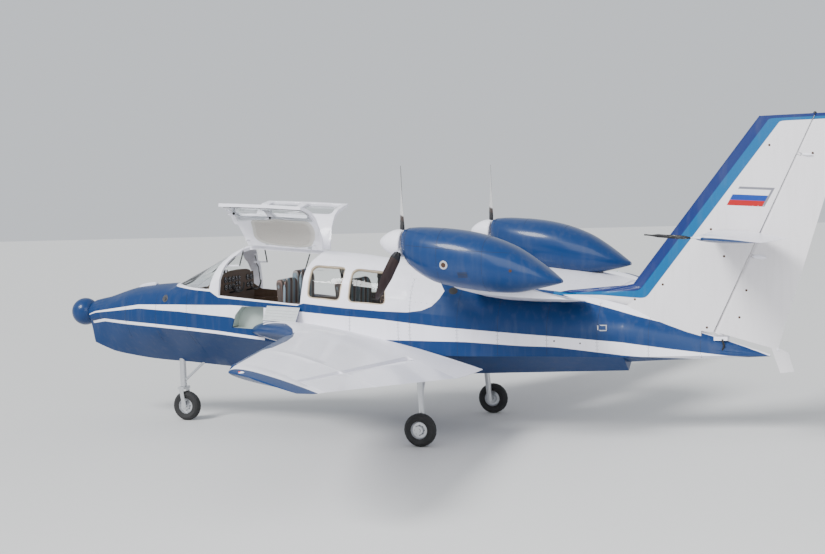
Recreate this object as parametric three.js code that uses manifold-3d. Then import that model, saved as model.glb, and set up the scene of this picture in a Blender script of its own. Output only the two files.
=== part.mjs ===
import * as THREE from "three";
import { mergeVertices } from "three/addons/utils/BufferGeometryUtils.js";
import Module from "manifold-3d";

const wasm = await Module();
wasm.setup();

// A twin-engined amphibious flying boat, parked on its wheels with both cabin doors up.
// Millimetres. +X points to the bow, +Y to port, +Z up, the ground under the tyres is z = 0.
// Places are given as a station aft of the nose, a distance to port and a height over the
// floating line; the hull sits a few degrees nose up, as it floats.
const overallLength = 10650;
const overallSpan = 12720;
const overallHeight = 3757;
const floatingLine = 970;
const noseUpSlope = 0.09;

// Clearances
const seatGap = 0.3;
const bearingGap = 0.4;
const movingGap = 8;

// Cabin
const cabinWall = 40;
const glassThickness = 5;
const cabinFrontStation = 2330;
const cabinRearStation = 5300;
const cabinFloorZ = 150;
const sideBoxTopZ = 680;
const sideBoxInnerY = 455;
const doorHingeY = 75;
const doorOpenDegrees = 92;

// Landing gear
const tyreRadius = 200;
const tyreWidth = 130;
const rimRadius = 105;
const noseWheelStation = 1780;
const noseSteerStation = 1740;
const mainWheelStation = 5780;
const mainWheelY = 1290;

// Propellers and nacelles
const nacelleY = 1530;
const propellerRadius = 915;
const propellerStation = 5745;
const propellerZ = 1467;
const spinnerLength = 290;
const spinnerRadius = 166;
const shaftRadius = 45;

const colours = {
  hullBlue: [0.05, 0.13, 0.4, 0.25, 0.1],
  hullWhite: [0.86, 0.86, 0.9, 0.3, 0.0],
  panelBrown: [0.1, 0.06, 0.05, 0.7, 0.0],
  seatCloth: [0.45, 0.5, 0.58, 0.95, 0.0],
  clearGlass: [0.75, 0.82, 0.85, 0.05, 0.0],
  bareMetal: [0.62, 0.63, 0.65, 0.35, 0.9],
  darkMetal: [0.12, 0.12, 0.13, 0.45, 0.6],
  bladeBrown: [0.06, 0.04, 0.04, 0.5, 0.0],
  tyreRubber: [0.03, 0.03, 0.03, 0.9, 0.0],
};

const noseX = overallLength / 2;
const groundZ = -floatingLine;
const highZ = 2000;
const deepZ = -900;

function at(station, y, z) {
  return new THREE.Vector3(noseX - station, y, floatingLine + z);
}

// Solids
function toSolid(geometry) {
  const bare = geometry.clone();
  bare.deleteAttribute("normal");
  bare.deleteAttribute("uv");
  const merged = mergeVertices(bare, 1e-3);
  const mesh = new wasm.Mesh({
    numProp: 3,
    vertProperties: merged.attributes.position.array,
    triVerts: new Uint32Array(merged.index.array),
  });
  return new wasm.Manifold(mesh);
}

function toGeometry(solid) {
  const mesh = solid.getMesh();
  const geometry = new THREE.BufferGeometry();
  geometry.setAttribute("position", new THREE.BufferAttribute(new Float32Array(mesh.vertProperties), 3));
  geometry.setIndex(Array.from(mesh.triVerts));
  geometry.computeVertexNormals();
  return geometry;
}

function largestPart(solid) {
  const parts = solid.decompose();
  parts.sort((a, b) => b.volume() - a.volume());
  return parts[0];
}

function mirrorSolid(solid) {
  return solid.mirror([0, 1, 0]);
}

function signedVolume(positions, index) {
  let volume = 0;
  for (let i = 0; i < index.length; i += 3) {
    const a = positions[index[i]];
    const b = positions[index[i + 1]];
    const c = positions[index[i + 2]];
    volume += a.dot(new THREE.Vector3().crossVectors(b, c)) / 6;
  }
  return volume;
}

// A closed skin over rings of equal length; its end rings are flat across the named axis.
// The two halves of each ring are split along mirrored diagonals, so that a symmetric loft stays so.
function loftSolid(rings, flatAxis) {
  const count = rings[0].length;
  const positions = rings.flat();
  const index = [];
  for (let r = 0; r < rings.length - 1; r += 1) {
    for (let i = 0; i < count; i += 1) {
      const a = r * count + i;
      const b = r * count + ((i + 1) % count);
      if (i < count / 2) index.push(a, b, b + count, a, b + count, a + count);
      else index.push(a, b, a + count, b, b + count, a + count);
    }
  }
  const flatten = (p) => {
    if (flatAxis === "x") return new THREE.Vector2(p.y, p.z);
    if (flatAxis === "y") return new THREE.Vector2(p.z, p.x);
    return new THREE.Vector2(p.x, p.y);
  };
  for (const end of [0, rings.length - 1]) {
    const outline = rings[end].map(flatten);
    const clockwise = THREE.ShapeUtils.isClockWise(outline);
    for (const [a, b, c] of THREE.ShapeUtils.triangulateShape(outline, [])) {
      const first = end * count;
      const outwards = (end === 0) !== clockwise;
      index.push(first + a, first + (outwards ? c : b), first + (outwards ? b : c));
    }
  }
  if (signedVolume(positions, index) < 0) {
    for (let i = 0; i < index.length; i += 3) {
      [index[i + 1], index[i + 2]] = [index[i + 2], index[i + 1]];
    }
  }
  const geometry = new THREE.BufferGeometry().setFromPoints(positions);
  geometry.setIndex(index);
  return toSolid(geometry);
}

// A block cut from a side view outline of [station, z] corners, between two distances to port.
function sidePrism(outline, yFrom, yTo) {
  const ring = (y) => outline.map(([station, z]) => at(station, y, z));
  return loftSolid([ring(yFrom), ring(yTo)], "y");
}

// A block cut from a top view outline of [station, y] corners, from a height up.
function planPrism(outline, zFrom) {
  const ring = (z) => outline.map(([station, y]) => at(station, y, z));
  return loftSolid([ring(zFrom), ring(highZ)], "z");
}

function roundedOutline(corners, radius) {
  const points = corners.map(([s, z]) => new THREE.Vector2(s, z));
  const shape = new THREE.Shape();
  points.forEach((corner, i) => {
    const before = points[(i + points.length - 1) % points.length];
    const after = points[(i + 1) % points.length];
    const start = corner.clone().add(before.clone().sub(corner).setLength(radius));
    const end = corner.clone().add(after.clone().sub(corner).setLength(radius));
    if (i === 0) shape.moveTo(start.x, start.y);
    else shape.lineTo(start.x, start.y);
    shape.quadraticCurveTo(corner.x, corner.y, end.x, end.y);
  });
  shape.closePath();
  const outline = shape.getPoints(3);
  if (outline[0].distanceTo(outline[outline.length - 1]) < 1e-6) outline.pop();
  return outline.map((p) => [p.x, p.y]);
}

function stationBox(stations, ys, zs) {
  const size = [stations[1] - stations[0], ys[1] - ys[0], zs[1] - zs[0]];
  const geometry = new THREE.BoxGeometry(...size);
  const middle = at((stations[0] + stations[1]) / 2, (ys[0] + ys[1]) / 2, (zs[0] + zs[1]) / 2);
  geometry.translate(middle.x, middle.y, middle.z);
  return toSolid(geometry);
}

// A bore a little wider than the rod that turns in it, also across the flats of its sides.
function boreRadius(radius, sides = 8) {
  return (radius + bearingGap) / Math.cos(Math.PI / sides);
}

function rodSolid(from, to, radiusFrom, radiusTo = radiusFrom, sides = 8) {
  const along = to.clone().sub(from);
  const geometry = new THREE.CylinderGeometry(radiusTo, radiusFrom, along.length(), sides);
  const upright = new THREE.Vector3(0, 1, 0);
  geometry.applyQuaternion(new THREE.Quaternion().setFromUnitVectors(upright, along.clone().normalize()));
  const middle = from.clone().add(to).multiplyScalar(0.5);
  geometry.translate(middle.x, middle.y, middle.z);
  return toSolid(geometry);
}

// A box with its edges along the frame's three directions, between the given distances along each.
function framedBox(frame, alongs, depths, heights) {
  const size = [alongs[1] - alongs[0], depths[1] - depths[0], heights[1] - heights[0]];
  const geometry = new THREE.BoxGeometry(...size);
  geometry.translate((alongs[0] + alongs[1]) / 2, (depths[0] + depths[1]) / 2, (heights[0] + heights[1]) / 2);
  geometry.applyMatrix4(frame);
  return toSolid(geometry);
}

function turnAbout(solid, point, axis, degrees) {
  const turn = new THREE.Matrix4().makeTranslation(point.x, point.y, point.z);
  turn.multiply(new THREE.Matrix4().makeRotationAxis(axis, THREE.MathUtils.degToRad(degrees)));
  turn.multiply(new THREE.Matrix4().makeTranslation(-point.x, -point.y, -point.z));
  return solid.transform(turn.elements);
}

// The plane's group keeps which rigid body each mesh belongs to, and the joints between the bodies.
const plane = new THREE.Group();
plane.userData.joints = [];

function addPiece(name, body, solid, colour) {
  const [r, g, b, roughness, metalness] = colours[colour];
  const material = new THREE.MeshStandardMaterial({ roughness, metalness });
  material.color.setRGB(r, g, b);
  const mesh = new THREE.Mesh(toGeometry(solid), material);
  mesh.name = name;
  mesh.userData.body = body;
  mesh.userData.colour = colour;
  plane.add(mesh);
}

function addPair(name, body, portSolid, colour) {
  const bodies = body === "root" ? ["root", "root"] : [`${body}_port`, `${body}_starboard`];
  addPiece(`${name}_port`, bodies[0], portSolid, colour);
  addPiece(`${name}_starboard`, bodies[1], mirrorSolid(portSolid), colour);
}

function addJoint(name, child, point, axis, limits, parent = "root", type = "hinge") {
  plane.userData.joints.push({ name, type, parent, child, point, axis, limits });
}

// The starboard joint mirrors the port one: its axis is turned so that the same angle mirrors too.
function addJointPair(name, child, point, axis, limits, parent = "root", type = "hinge") {
  const parents = parent === "root" ? ["root", "root"] : [`${parent}_port`, `${parent}_starboard`];
  const mirroredPoint = new THREE.Vector3(point.x, -point.y, point.z);
  const mirroredAxis = new THREE.Vector3(axis.x, -axis.y, axis.z);
  if (type === "hinge") mirroredAxis.negate();
  addJoint(`${name}_port`, `${child}_port`, point, axis, limits, parents[0], type);
  addJoint(`${name}_starboard`, `${child}_starboard`, mirroredPoint, mirroredAxis, limits, parents[1], type);
}

// Hull
// columns: station, keel z, chine y, chine z, side y, side z, shoulder y, shoulder z, crown z
const hullFrames = [
  [330, 100, 70, 360, 130, 480, 120, 580, 660],
  [640, -20, 200, 410, 225, 520, 180, 640, 740],
  [1110, -100, 360, 385, 375, 560, 280, 765, 870],
  [1660, -150, 500, 360, 500, 600, 370, 830, 920],
  [1840, -160, 535, 350, 530, 620, 410, 840, 932],
  [2250, -195, 605, 325, 595, 660, 485, 930, 1135],
  [2610, -225, 640, 300, 620, 690, 520, 1080, 1310],
  [2720, -233, 648, 286, 625, 695, 515, 1130, 1365],
  [2850, -245, 655, 270, 630, 700, 505, 1150, 1408],
  [2990, -255, 660, 252, 634, 700, 502, 1160, 1417],
  [3450, -290, 668, 205, 640, 690, 500, 1150, 1378],
  [3950, -325, 670, 140, 640, 660, 498, 1120, 1335],
  [4500, -355, 660, 90, 635, 630, 495, 1080, 1275],
  [5050, -385, 640, 40, 620, 600, 470, 1010, 1200],
  [5055, -290, 640, 40, 620, 600, 470, 1010, 1200],
  [5350, -280, 612, 32, 600, 580, 430, 945, 1140],
  [6000, -262, 550, 25, 525, 500, 340, 800, 965],
  [6500, -245, 490, 20, 450, 460, 270, 710, 850],
  [7100, -225, 410, 15, 370, 410, 200, 630, 775],
  [7700, -205, 320, 5, 285, 360, 150, 550, 690],
  [8000, -195, 275, 0, 240, 330, 125, 490, 630],
  [8005, -90, 275, 0, 240, 330, 125, 490, 630],
  [8500, -60, 195, 5, 160, 230, 90, 350, 450],
  [9050, -35, 115, 10, 92, 110, 62, 180, 235],
  [9690, -5, 22, 2, 20, 8, 12, 14, 20],
];

function hullRing(frame, inset) {
  const [station, keelZ, chineY, chineZ, sideY, sideZ, shoulderY, shoulderZ, crownZ] = frame;
  const half = [
    [chineY - inset, chineZ + inset / 2],
    [sideY - inset, sideZ],
    [shoulderY - inset, shoulderZ - inset / 2],
  ];
  const across = [...half, [0, crownZ - inset], ...half.map(([y, z]) => [-y, z]).reverse()];
  const curve = new THREE.SplineCurve(across.map(([y, z]) => new THREE.Vector2(y, z)));
  const upper = curve.getPoints(18).map((p) => at(station, p.x, p.y));
  return [at(station, 0, keelZ + inset), ...upper];
}

function hullSolid(inset, fromStation, toStation) {
  const frames = hullFrames.filter(([station]) => station >= fromStation && station <= toStation);
  return loftSolid(frames.map((frame) => hullRing(frame, inset)), "x");
}

const hull = hullSolid(0, 0, overallLength);
const hullClear = hullSolid(-seatGap, 0, overallLength);
const cabinInside = hullSolid(cabinWall, 1800, 5400);

// Side view outlines, as [station, z]
const bowOutline = [[100, deepZ], [2250, deepZ], [2250, 896], [1846, 930], [1846, highZ], [100, highZ]];
const tubOutline = [
  [2250 + seatGap, deepZ], [5350, deepZ], [5350, 575], [3900, 672], [2700, 792], [2590, 868],
  [2250 + seatGap, 896],
];
const screenOutline = [
  [1846 + seatGap, 930 + seatGap], [2250, 897], [2560, 872], [2600, 1050], [2640, 1220],
  [2700, 1310], [2760, 1350], [2800, highZ], [1846 + seatGap, highZ],
];
const archOutline = [
  [2560 + seatGap, 871], [2590, 868.4], [2700, 792.5], [2706, 792],
  [2712, 1000], [2745, 1200], [2800, 1290], [2900, 1290], [2900, highZ], [2800 + seatGap, highZ],
  [2760 + seatGap, 1350], [2700 + seatGap, 1310], [2640 + seatGap, 1220], [2600 + seatGap, 1050],
];
const doorOutline = [
  [2716, 802], [3902, 684], [3922, 900], [3935, 1080], [3968, 1220], [4000, 1280], [4000, highZ],
  [2812, highZ], [2812, 1284], [2757, 1200], [2724, 1000],
];
// The arch's rear edge and the door's front edge over the roof, as [station, y] in top view
const roofEdgeZ = 1284;
const archRoofCut = [[2902, 75], [3000, 75], [3000, 500], [2732, 500]];
const doorRoofCut = [[2914, 75], [2744, 500], [2650, 500], [2650, 75]];
const shellOutline = [
  [3900 + 8, 672 + seatGap], [5350, 575 + seatGap], [5350, highZ], [4008, highZ], [4008, 1280],
  [3976, 1216], [3943, 1080], [3930, 900],
];

const bowHull = hull.intersect(sidePrism(bowOutline, -1000, 1000));
const bumperBall = new THREE.SphereGeometry(190, 16, 10);
const bumperCentre = at(190, 0, 530);
bumperBall.rotateX(Math.PI / 2);
bumperBall.translate(bumperCentre.x, bumperCentre.y, bumperCentre.z);
addPiece("bow_hull", "root", bowHull, "hullBlue");
addPiece("nose_bumper", "root", largestPart(toSolid(bumperBall).subtract(hullClear)), "hullBlue");

// A low fairing on the bow deck, and a mooring bollard on each side
function ridgeRing([station, halfWidth, foot, shoulder, top]) {
  return [
    at(station, -halfWidth, foot), at(station, halfWidth, foot), at(station, halfWidth, shoulder),
    at(station, halfWidth * 0.5, top), at(station, -halfWidth * 0.5, top), at(station, -halfWidth, shoulder),
  ];
}
// columns: station, half width, foot z, shoulder z, top z
const fairingSections = [
  [1110, 30, 700, 868, 880],
  [1160, 45, 700, 894, 906],
  [1300, 50, 700, 918, 930],
  [1380, 45, 700, 920, 932],
  [1395, 40, 700, 906, 918],
];
const deckFairing = loftSolid(fairingSections.map(ridgeRing), "x");
addPiece("deck_fairing", "root", deckFairing.subtract(hullClear), "hullWhite");

const bollard = {
  station: 1815, z: 748, faceY: 510, postRadius: 11, headRadius: 22, headDepth: 8, dishRadius: 48,
};
const bollardRod = (yFrom, yTo, radius) => rodSolid(
  at(bollard.station, yFrom, bollard.z), at(bollard.station, yTo, bollard.z), radius, radius, 16,
);
const bollardDish = bollardRod(400, 520, bollard.dishRadius).intersect(hullSolid(-4, 1100, 2700));
const bollardSolid = bollardDish
  .add(bollardRod(420, bollard.faceY, bollard.postRadius))
  .add(bollardRod(bollard.faceY - bollard.headDepth, bollard.faceY, bollard.headRadius))
  .subtract(hullClear);
addPair("mooring_bollard", "root", largestPart(bollardSolid), "darkMetal");

// The tub is hollow from the instrument bay to the rear bulkhead, with closed boxes along its sides.
const lockerInnerY = 490;
const lockerOutline = [[2912, 378], [3318, 352], [3385, 470], [3385, 645], [3062, 651], [2965, 540]];
const cabinLength = [cabinFrontStation, cabinRearStation];
const wellBlock = stationBox(cabinLength, [-sideBoxInnerY, sideBoxInnerY], [cabinFloorZ, highZ]);
const wellSpace = cabinInside.intersect(wellBlock);
const upperSpace = cabinInside.intersect(stationBox(cabinLength, [-1000, 1000], [sideBoxTopZ, highZ]));
const lockerSpace = sidePrism(lockerOutline, lockerInnerY, 1000);
const cabinTub = hull
  .intersect(sidePrism(tubOutline, -1000, 1000))
  .subtract(wellSpace)
  .subtract(upperSpace)
  .subtract(lockerSpace);
addPiece("cabin_tub", "root", largestPart(cabinTub), "hullBlue");

// Rear windows, as corners in side view
const rearWindows = [
  [[4020, 1165], [4500, 1128], [4460, 712], [4000, 758]],
  [[4590, 1115], [5050, 1062], [5085, 660], [4565, 700]],
];
const rearGlassOutline = [[3988, 1195], [5085, 1090], [5120, 630], [3984, 735]];
const shellSpace = cabinInside.intersect(stationBox(cabinLength, [-1000, 1000], [400, highZ]));
let cabinShell = hull.intersect(sidePrism(shellOutline, -1000, 1000)).subtract(shellSpace);
for (const corners of rearWindows) {
  const outline = roundedOutline(corners, 70);
  cabinShell = cabinShell.subtract(sidePrism(outline, -1000, 1000));
}

cabinShell = largestPart(cabinShell);

const glassOuter = hullSolid(cabinWall + seatGap, 1800, 5400);
const glassInner = hullSolid(cabinWall + seatGap + glassThickness, 1800, 5400);
const glassSkin = glassOuter.subtract(glassInner);
const sideGlass = glassSkin.intersect(sidePrism(rearGlassOutline, 100, 1000));
addPair("side_glass", "root", largestPart(sideGlass), "clearGlass");

// Windscreen in its arch, and the spine over the cabin that carries the doors
const screenSetIn = 8;
const screenSkin = hullSolid(screenSetIn, 1800, 3100)
  .subtract(hullSolid(screenSetIn + glassThickness, 1800, 3100));
const windscreen = screenSkin.intersect(sidePrism(screenOutline, -1000, 1000));
addPiece("windscreen", "root", largestPart(windscreen), "clearGlass");

const hingeFrontStation = 2960;
const hingeRearStation = 3960;
function hingeHeight(station) {
  const slope = (1335 - 1417) / (3950 - 2990);
  return 1417 + slope * (station - 2990);
}
const doorAxis = at(hingeFrontStation, 0, hingeHeight(hingeFrontStation))
  .sub(at(hingeRearStation, 0, hingeHeight(hingeRearStation)))
  .normalize();
const doorPivot = at(hingeRearStation, doorHingeY, hingeHeight(hingeRearStation));
const doorHingeStations = [3130, 3700];
const knuckle = { radius: 11, halfLength: 20, lugLength: 14, pinRadius: 5, clear: 5 };

function hingePlace(station) {
  return at(station, doorHingeY, hingeHeight(station));
}
function hingeRod(station, from, to, radius) {
  const centre = hingePlace(station);
  const start = centre.clone().addScaledVector(doorAxis, from);
  const end = centre.clone().addScaledVector(doorAxis, to);
  return rodSolid(start, end, radius);
}

const cabinSkin = hull.subtract(hullSolid(cabinWall, 1800, 5400));
const spineOutline = [[2890, 1284], [4008 - seatGap, 1284], [4008 - seatGap, highZ], [2890, highZ]];
const spineHalf = doorHingeY - 6;
const openAngle = THREE.MathUtils.degToRad(doorOpenDegrees);
const archCut = planPrism(archRoofCut, roofEdgeZ);
let arch = cabinSkin
  .intersect(sidePrism(archOutline, -1000, 1000))
  .subtract(archCut)
  .subtract(mirrorSolid(archCut));
arch = arch.add(cabinSkin.intersect(sidePrism(spineOutline, -spineHalf, spineHalf)));
let door = cabinSkin
  .intersect(sidePrism(doorOutline, doorHingeY, 1000))
  .subtract(planPrism(doorRoofCut, roofEdgeZ - 60));
for (const station of doorHingeStations) {
  const half = knuckle.halfLength;
  const lugEnd = half + knuckle.lugLength;
  const { clear } = knuckle;
  arch = arch.subtract(hingeRod(station, -half - 1, half + 1, knuckle.radius + clear));
  door = door.subtract(hingeRod(station, -lugEnd - clear, lugEnd + clear, knuckle.radius + clear));
  const leaf = hingePlace(station);
  const doorLeaf = new THREE.BoxGeometry(2 * half, 60, 8);
  doorLeaf.translate(leaf.x, leaf.y + 30, leaf.z - 6);
  const knuckleSolid = hingeRod(station, -half, half, knuckle.radius).add(toSolid(doorLeaf));
  const pinHole = hingeRod(station, -half - clear, half + clear, boreRadius(knuckle.pinRadius));
  door = door.add(knuckleSolid.subtract(pinHole));
  arch = arch.add(hingeRod(station, -lugEnd, lugEnd, knuckle.pinRadius));
  for (const [from, to] of [[-lugEnd, -half - 1], [half + 1, lugEnd]]) {
    arch = arch.add(hingeRod(station, from, to, knuckle.radius));
  }
}
const doorWindows = [
  [[2800, 850], [3275, 802], [3290, 1150], [2850, 1165]],
  [[3345, 795], [3860, 742], [3880, 1090], [3360, 1140]],
];
for (const corners of doorWindows) {
  door = door.subtract(sidePrism(roundedOutline(corners, 60), 300, 1000));
}
const doorGlassOutline = [[2770, 825], [3885, 715], [3905, 1110], [2820, 1190]];
const doorGlass = glassSkin.intersect(sidePrism(doorGlassOutline, 300, 1000));

// Gas struts: each cylinder turns on a pin fixed to the cabin, and its rod's eye lies beside a bracket
// under the door's roof panel. All of it moves in a plane square to the door's hinge line.
const strutSizes = {
  cylinderRadius: 9, rodRadius: 4.5, pinRadius: 4, eyeRadius: 9, eyeHalf: 4, plate: 6,
  sideGap: 0.6, reach: 42, armHalf: 7,
};
// columns: name, station of the foot, foot y and z, station its arm starts from, closed eye y and z
const doorStruts = [
  ["front_strut", 2912, 380, 1168, 2724, 140, 1262],
  ["rear_strut", 3880, 380, 1120, 3968, 140, 1206],
];

const pinSides = 12;
const shaftSides = 24;
function crossRod(centre, from, to, radius) {
  const start = centre.clone().addScaledVector(doorAxis, from);
  const end = centre.clone().addScaledVector(doorAxis, to);
  return rodSolid(start, end, radius, radius, pinSides);
}

function strutSet([name, station, footY, footZ, armStation, eyeY, eyeZ]) {
  const { cylinderRadius, rodRadius, pinRadius, eyeRadius, eyeHalf } = strutSizes;
  const { plate, sideGap, reach, armHalf } = strutSizes;
  const foot = at(station, footY, footZ);
  const eyeClosed = at(station, eyeY, eyeZ);
  eyeClosed.addScaledVector(doorAxis, foot.clone().sub(eyeClosed).dot(doorAxis));
  const eye = eyeClosed.clone().sub(doorPivot).applyAxisAngle(doorAxis, openAngle).add(doorPivot);
  const line = eye.clone().sub(foot).normalize();
  const length = eye.distanceTo(foot);
  const closedLength = eyeClosed.distanceTo(foot);
  const along = (distance) => foot.clone().addScaledVector(line, distance);
  const mouth = closedLength - reach - eyeRadius;
  const stroke = length - closedLength;
  const cylinder = rodSolid(along(eyeRadius - 3), along(mouth), cylinderRadius)
    .add(crossRod(foot, -eyeHalf, eyeHalf, eyeRadius))
    .subtract(crossRod(foot, -eyeHalf - 1, eyeHalf + 1, boreRadius(pinRadius, pinSides)))
    .subtract(rodSolid(along(eyeRadius + 14), along(mouth + 5), boreRadius(rodRadius)));
  const rod = rodSolid(along(stroke + eyeRadius + 18), along(length - eyeRadius + 3), rodRadius)
    .add(crossRod(eye, -eyeHalf, eyeHalf, eyeRadius));
  // The door's bracket is a plate beside the eye, up to the roof panel
  const doorUp = new THREE.Vector3().crossVectors(doorAxis, new THREE.Vector3(0, 1, 0));
  const bracketFrame = new THREE.Matrix4().makeBasis(doorAxis, new THREE.Vector3(0, 1, 0), doorUp);
  bracketFrame.setPosition(eyeClosed);
  const plateFace = -eyeHalf - sideGap;
  const plateSides = [plateFace - plate, plateFace];
  const plateBlock = framedBox(bracketFrame, plateSides, [-eyeRadius, eyeRadius], [0, 300]);
  const doorBracket = crossRod(eyeClosed, ...plateSides, eyeRadius)
    .add(plateBlock.intersect(hullSolid(5, 1800, 5400)));
  // The arm carries the foot's pin from the cabin wall
  const armSide = armStation > station ? -1 : 1;
  const armEnd = station - armSide * (cylinderRadius + 5);
  const armStations = [Math.min(armStation, armEnd), Math.max(armStation, armEnd)];
  const armZ = [footZ - eyeRadius, footZ + eyeRadius];
  const armFoot = stationBox([armStation - 12, armStation + 12], [footY - armHalf, footY + 200], armZ)
    .intersect(hullSolid(5, 1800, 5400));
  const arm = stationBox(armStations, [footY - armHalf, footY + armHalf], armZ)
    .add(armFoot)
    .add(crossRod(foot, armSide * (cylinderRadius + 12), armSide * -eyeHalf, pinRadius));
  const leanOf = (point) => THREE.MathUtils.radToDeg(Math.atan2(point.z - foot.z, point.y - foot.y));
  const swing = leanOf(eyeClosed) - leanOf(eye);
  addPair(`${name}_cylinder`, `${name}_cylinder`, largestPart(cylinder), "darkMetal");
  addPair(`${name}_rod`, `${name}_rod`, largestPart(rod), "bareMetal");
  addJointPair(`${name}_pivot`, `${name}_cylinder`, foot, doorAxis, [0, swing]);
  addJointPair(`${name}_slide`, `${name}_rod`, foot, line, [-stroke, 0], `${name}_cylinder`, "slide");
  return { arm, doorBracket };
}
for (const row of doorStruts) {
  const { arm, doorBracket } = strutSet(row);
  door = door.add(doorBracket);
  if (row[0] === "front_strut") arch = arch.add(arm).add(mirrorSolid(arm));
  else cabinShell = cabinShell.add(arm).add(mirrorSolid(arm));
}
const openedDoor = turnAbout(door, doorPivot, doorAxis, doorOpenDegrees);
const openedGlass = turnAbout(largestPart(doorGlass), doorPivot, doorAxis, doorOpenDegrees);
addPiece("cabin_shell", "root", cabinShell, "hullWhite");
addPiece("windscreen_arch", "root", largestPart(arch), "hullWhite");
addPair("cabin_door", "door", largestPart(openedDoor), "hullWhite");
addPair("door_glass", "door", openedGlass, "clearGlass");
addJointPair("door_hinge", "door", doorPivot, doorAxis, [-doorOpenDegrees, 0]);

// Cabin fittings: an instrument panel with its hood, and seats on the cabin floor
function seatSolid(width, backTop) {
  const profile = [
    [0, 60], [-40, 80], [-60, 250], [-40, 330], [330, 300], [360, backTop - 40], [400, backTop],
    [470, backTop], [490, backTop - 40], [450, 120], [430, 60],
  ];
  const ring = (y) => profile.map(([s, z]) => new THREE.Vector3(-s, y, z));
  return loftSolid([ring(-width / 2), ring(width / 2)], "y");
}
// columns: name, front station, distance to port, width, height of the back over the cabin floor
const seatRows = [
  ["front_seat_port", 3110, 232, 420, 920],
  ["front_seat_starboard", 3110, -232, 420, 1010],
  ["middle_seat_port", 3950, 232, 420, 890],
  ["middle_seat_starboard", 3950, -232, 420, 890],
  ["rear_bench", 4560, 0, 820, 700],
];
for (const [name, station, y, width, backTop] of seatRows) {
  const place = at(station, y, cabinFloorZ + seatGap - 60);
  const seat = seatSolid(width, backTop).translate([place.x, place.y, place.z]);
  addPiece(name, "root", seat, "seatCloth");
}

const panelRing = (station, halfWidth, top) => [
  at(station, -halfWidth, 300), at(station, halfWidth, 300), at(station, halfWidth, top - 110),
  at(station, halfWidth * 0.75, top - 20), at(station, halfWidth * 0.45, top),
  at(station, -halfWidth * 0.45, top), at(station, -halfWidth * 0.75, top - 20),
  at(station, -halfWidth, top - 110),
];
const instrumentPanel = loftSolid([panelRing(2420, 430, 960), panelRing(2660, 440, 1090)], "x")
  .add(stationBox([2440, 2640], [-90, 90], [cabinFloorZ + seatGap, 400]));
addPiece("instrument_panel", "root", instrumentPanel, "panelBrown");

// Aft hull, decked all over
const tailEnd = 9690;
const aftHull = hull.intersect(stationBox([5350 + seatGap, tailEnd + 10], [-1000, 1000], [deepZ, highZ]));
addPiece("aft_hull", "root", largestPart(aftHull), "hullBlue");

// Aerofoils: a ring of points round a section, given by its place function
const chordSteps = [0, 0.025, 0.1, 0.26, 0.5, 0.75, 1];
function thicknessShape(f) {
  return 2.969 * Math.sqrt(f) - 1.26 * f - 3.516 * f ** 2 + 2.843 * f ** 3 - 1.015 * f ** 4;
}
function aerofoilRing(place) {
  const upper = [...chordSteps].reverse().map((f) => place(f, 1));
  const lower = chordSteps.slice(1).map((f) => place(f, -1));
  return [...upper, ...lower];
}

// A hinged surface cut from a solid along a hinge line, with a round nose, and two brackets with pins.
function hingedSurface(base, hinge) {
  const { start, end, aft, startRadius, endRadius, flatAxis, shares } = hinge;
  const along = end.clone().sub(start);
  const length = along.length();
  along.normalize();
  const aftwards = aft.clone().addScaledVector(along, -aft.dot(along)).normalize();
  const across = new THREE.Vector3().crossVectors(along, aftwards);
  const reach = 1200;
  const half = 300;
  const radiusAt = (t) => startRadius + (endRadius - startRadius) * (t / length);
  const point = (t, depth, height) => start.clone()
    .addScaledVector(along, t).addScaledVector(aftwards, depth).addScaledVector(across, height);
  const block = (from, to, depthFrom, depthTo) => {
    const ring = (t, depth) => [
      point(t, depth, -half), point(t, reach, -half), point(t, reach, half), point(t, depth, half),
    ];
    return loftSolid([ring(from, depthFrom), ring(to, depthTo)], flatAxis);
  };
  const slot = block(0, length, -startRadius - movingGap, -endRadius - movingGap);
  const trim = block(movingGap, length - movingGap, 0, 0);
  const noseFit = 0.985;
  const nose = rodSolid(
    point(movingGap, 0, 0), point(length - movingGap, 0, 0), startRadius * noseFit, endRadius * noseFit, 12,
  );
  let surface = base.intersect(trim).add(nose);
  let carrier = base.subtract(slot);
  const lug = { half: 12, notchHalf: 18, notchAft: 22, barrel: 12, pin: 6, pinReach: 30 };
  const frame = new THREE.Matrix4().makeBasis(along, aftwards, across);
  for (const share of shares) {
    const t = share * length;
    const centre = point(t, 0, 0);
    const placed = new THREE.Matrix4().makeTranslation(centre.x, centre.y, centre.z).multiply(frame);
    const wall = radiusAt(t) + movingGap;
    const pinLine = (reachFrom) => [point(t - reachFrom, 0, 0), point(t + reachFrom, 0, 0)];
    const notchEnds = [-lug.notchHalf, lug.notchHalf];
    const notch = framedBox(placed, notchEnds, [-wall - 2, lug.notchAft], [-half, half]);
    surface = surface.subtract(notch).subtract(rodSolid(...pinLine(lug.pinReach + 4), boreRadius(lug.pin)));
    carrier = carrier
      .add(framedBox(placed, [-lug.half, lug.half], [-wall - 15, 0], [-lug.barrel, lug.barrel]))
      .add(rodSolid(...pinLine(lug.half), lug.barrel))
      .add(rodSolid(...pinLine(lug.pinReach), lug.pin));
  }
  return { surface: largestPart(surface), carrier: largestPart(carrier), along };
}

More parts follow.
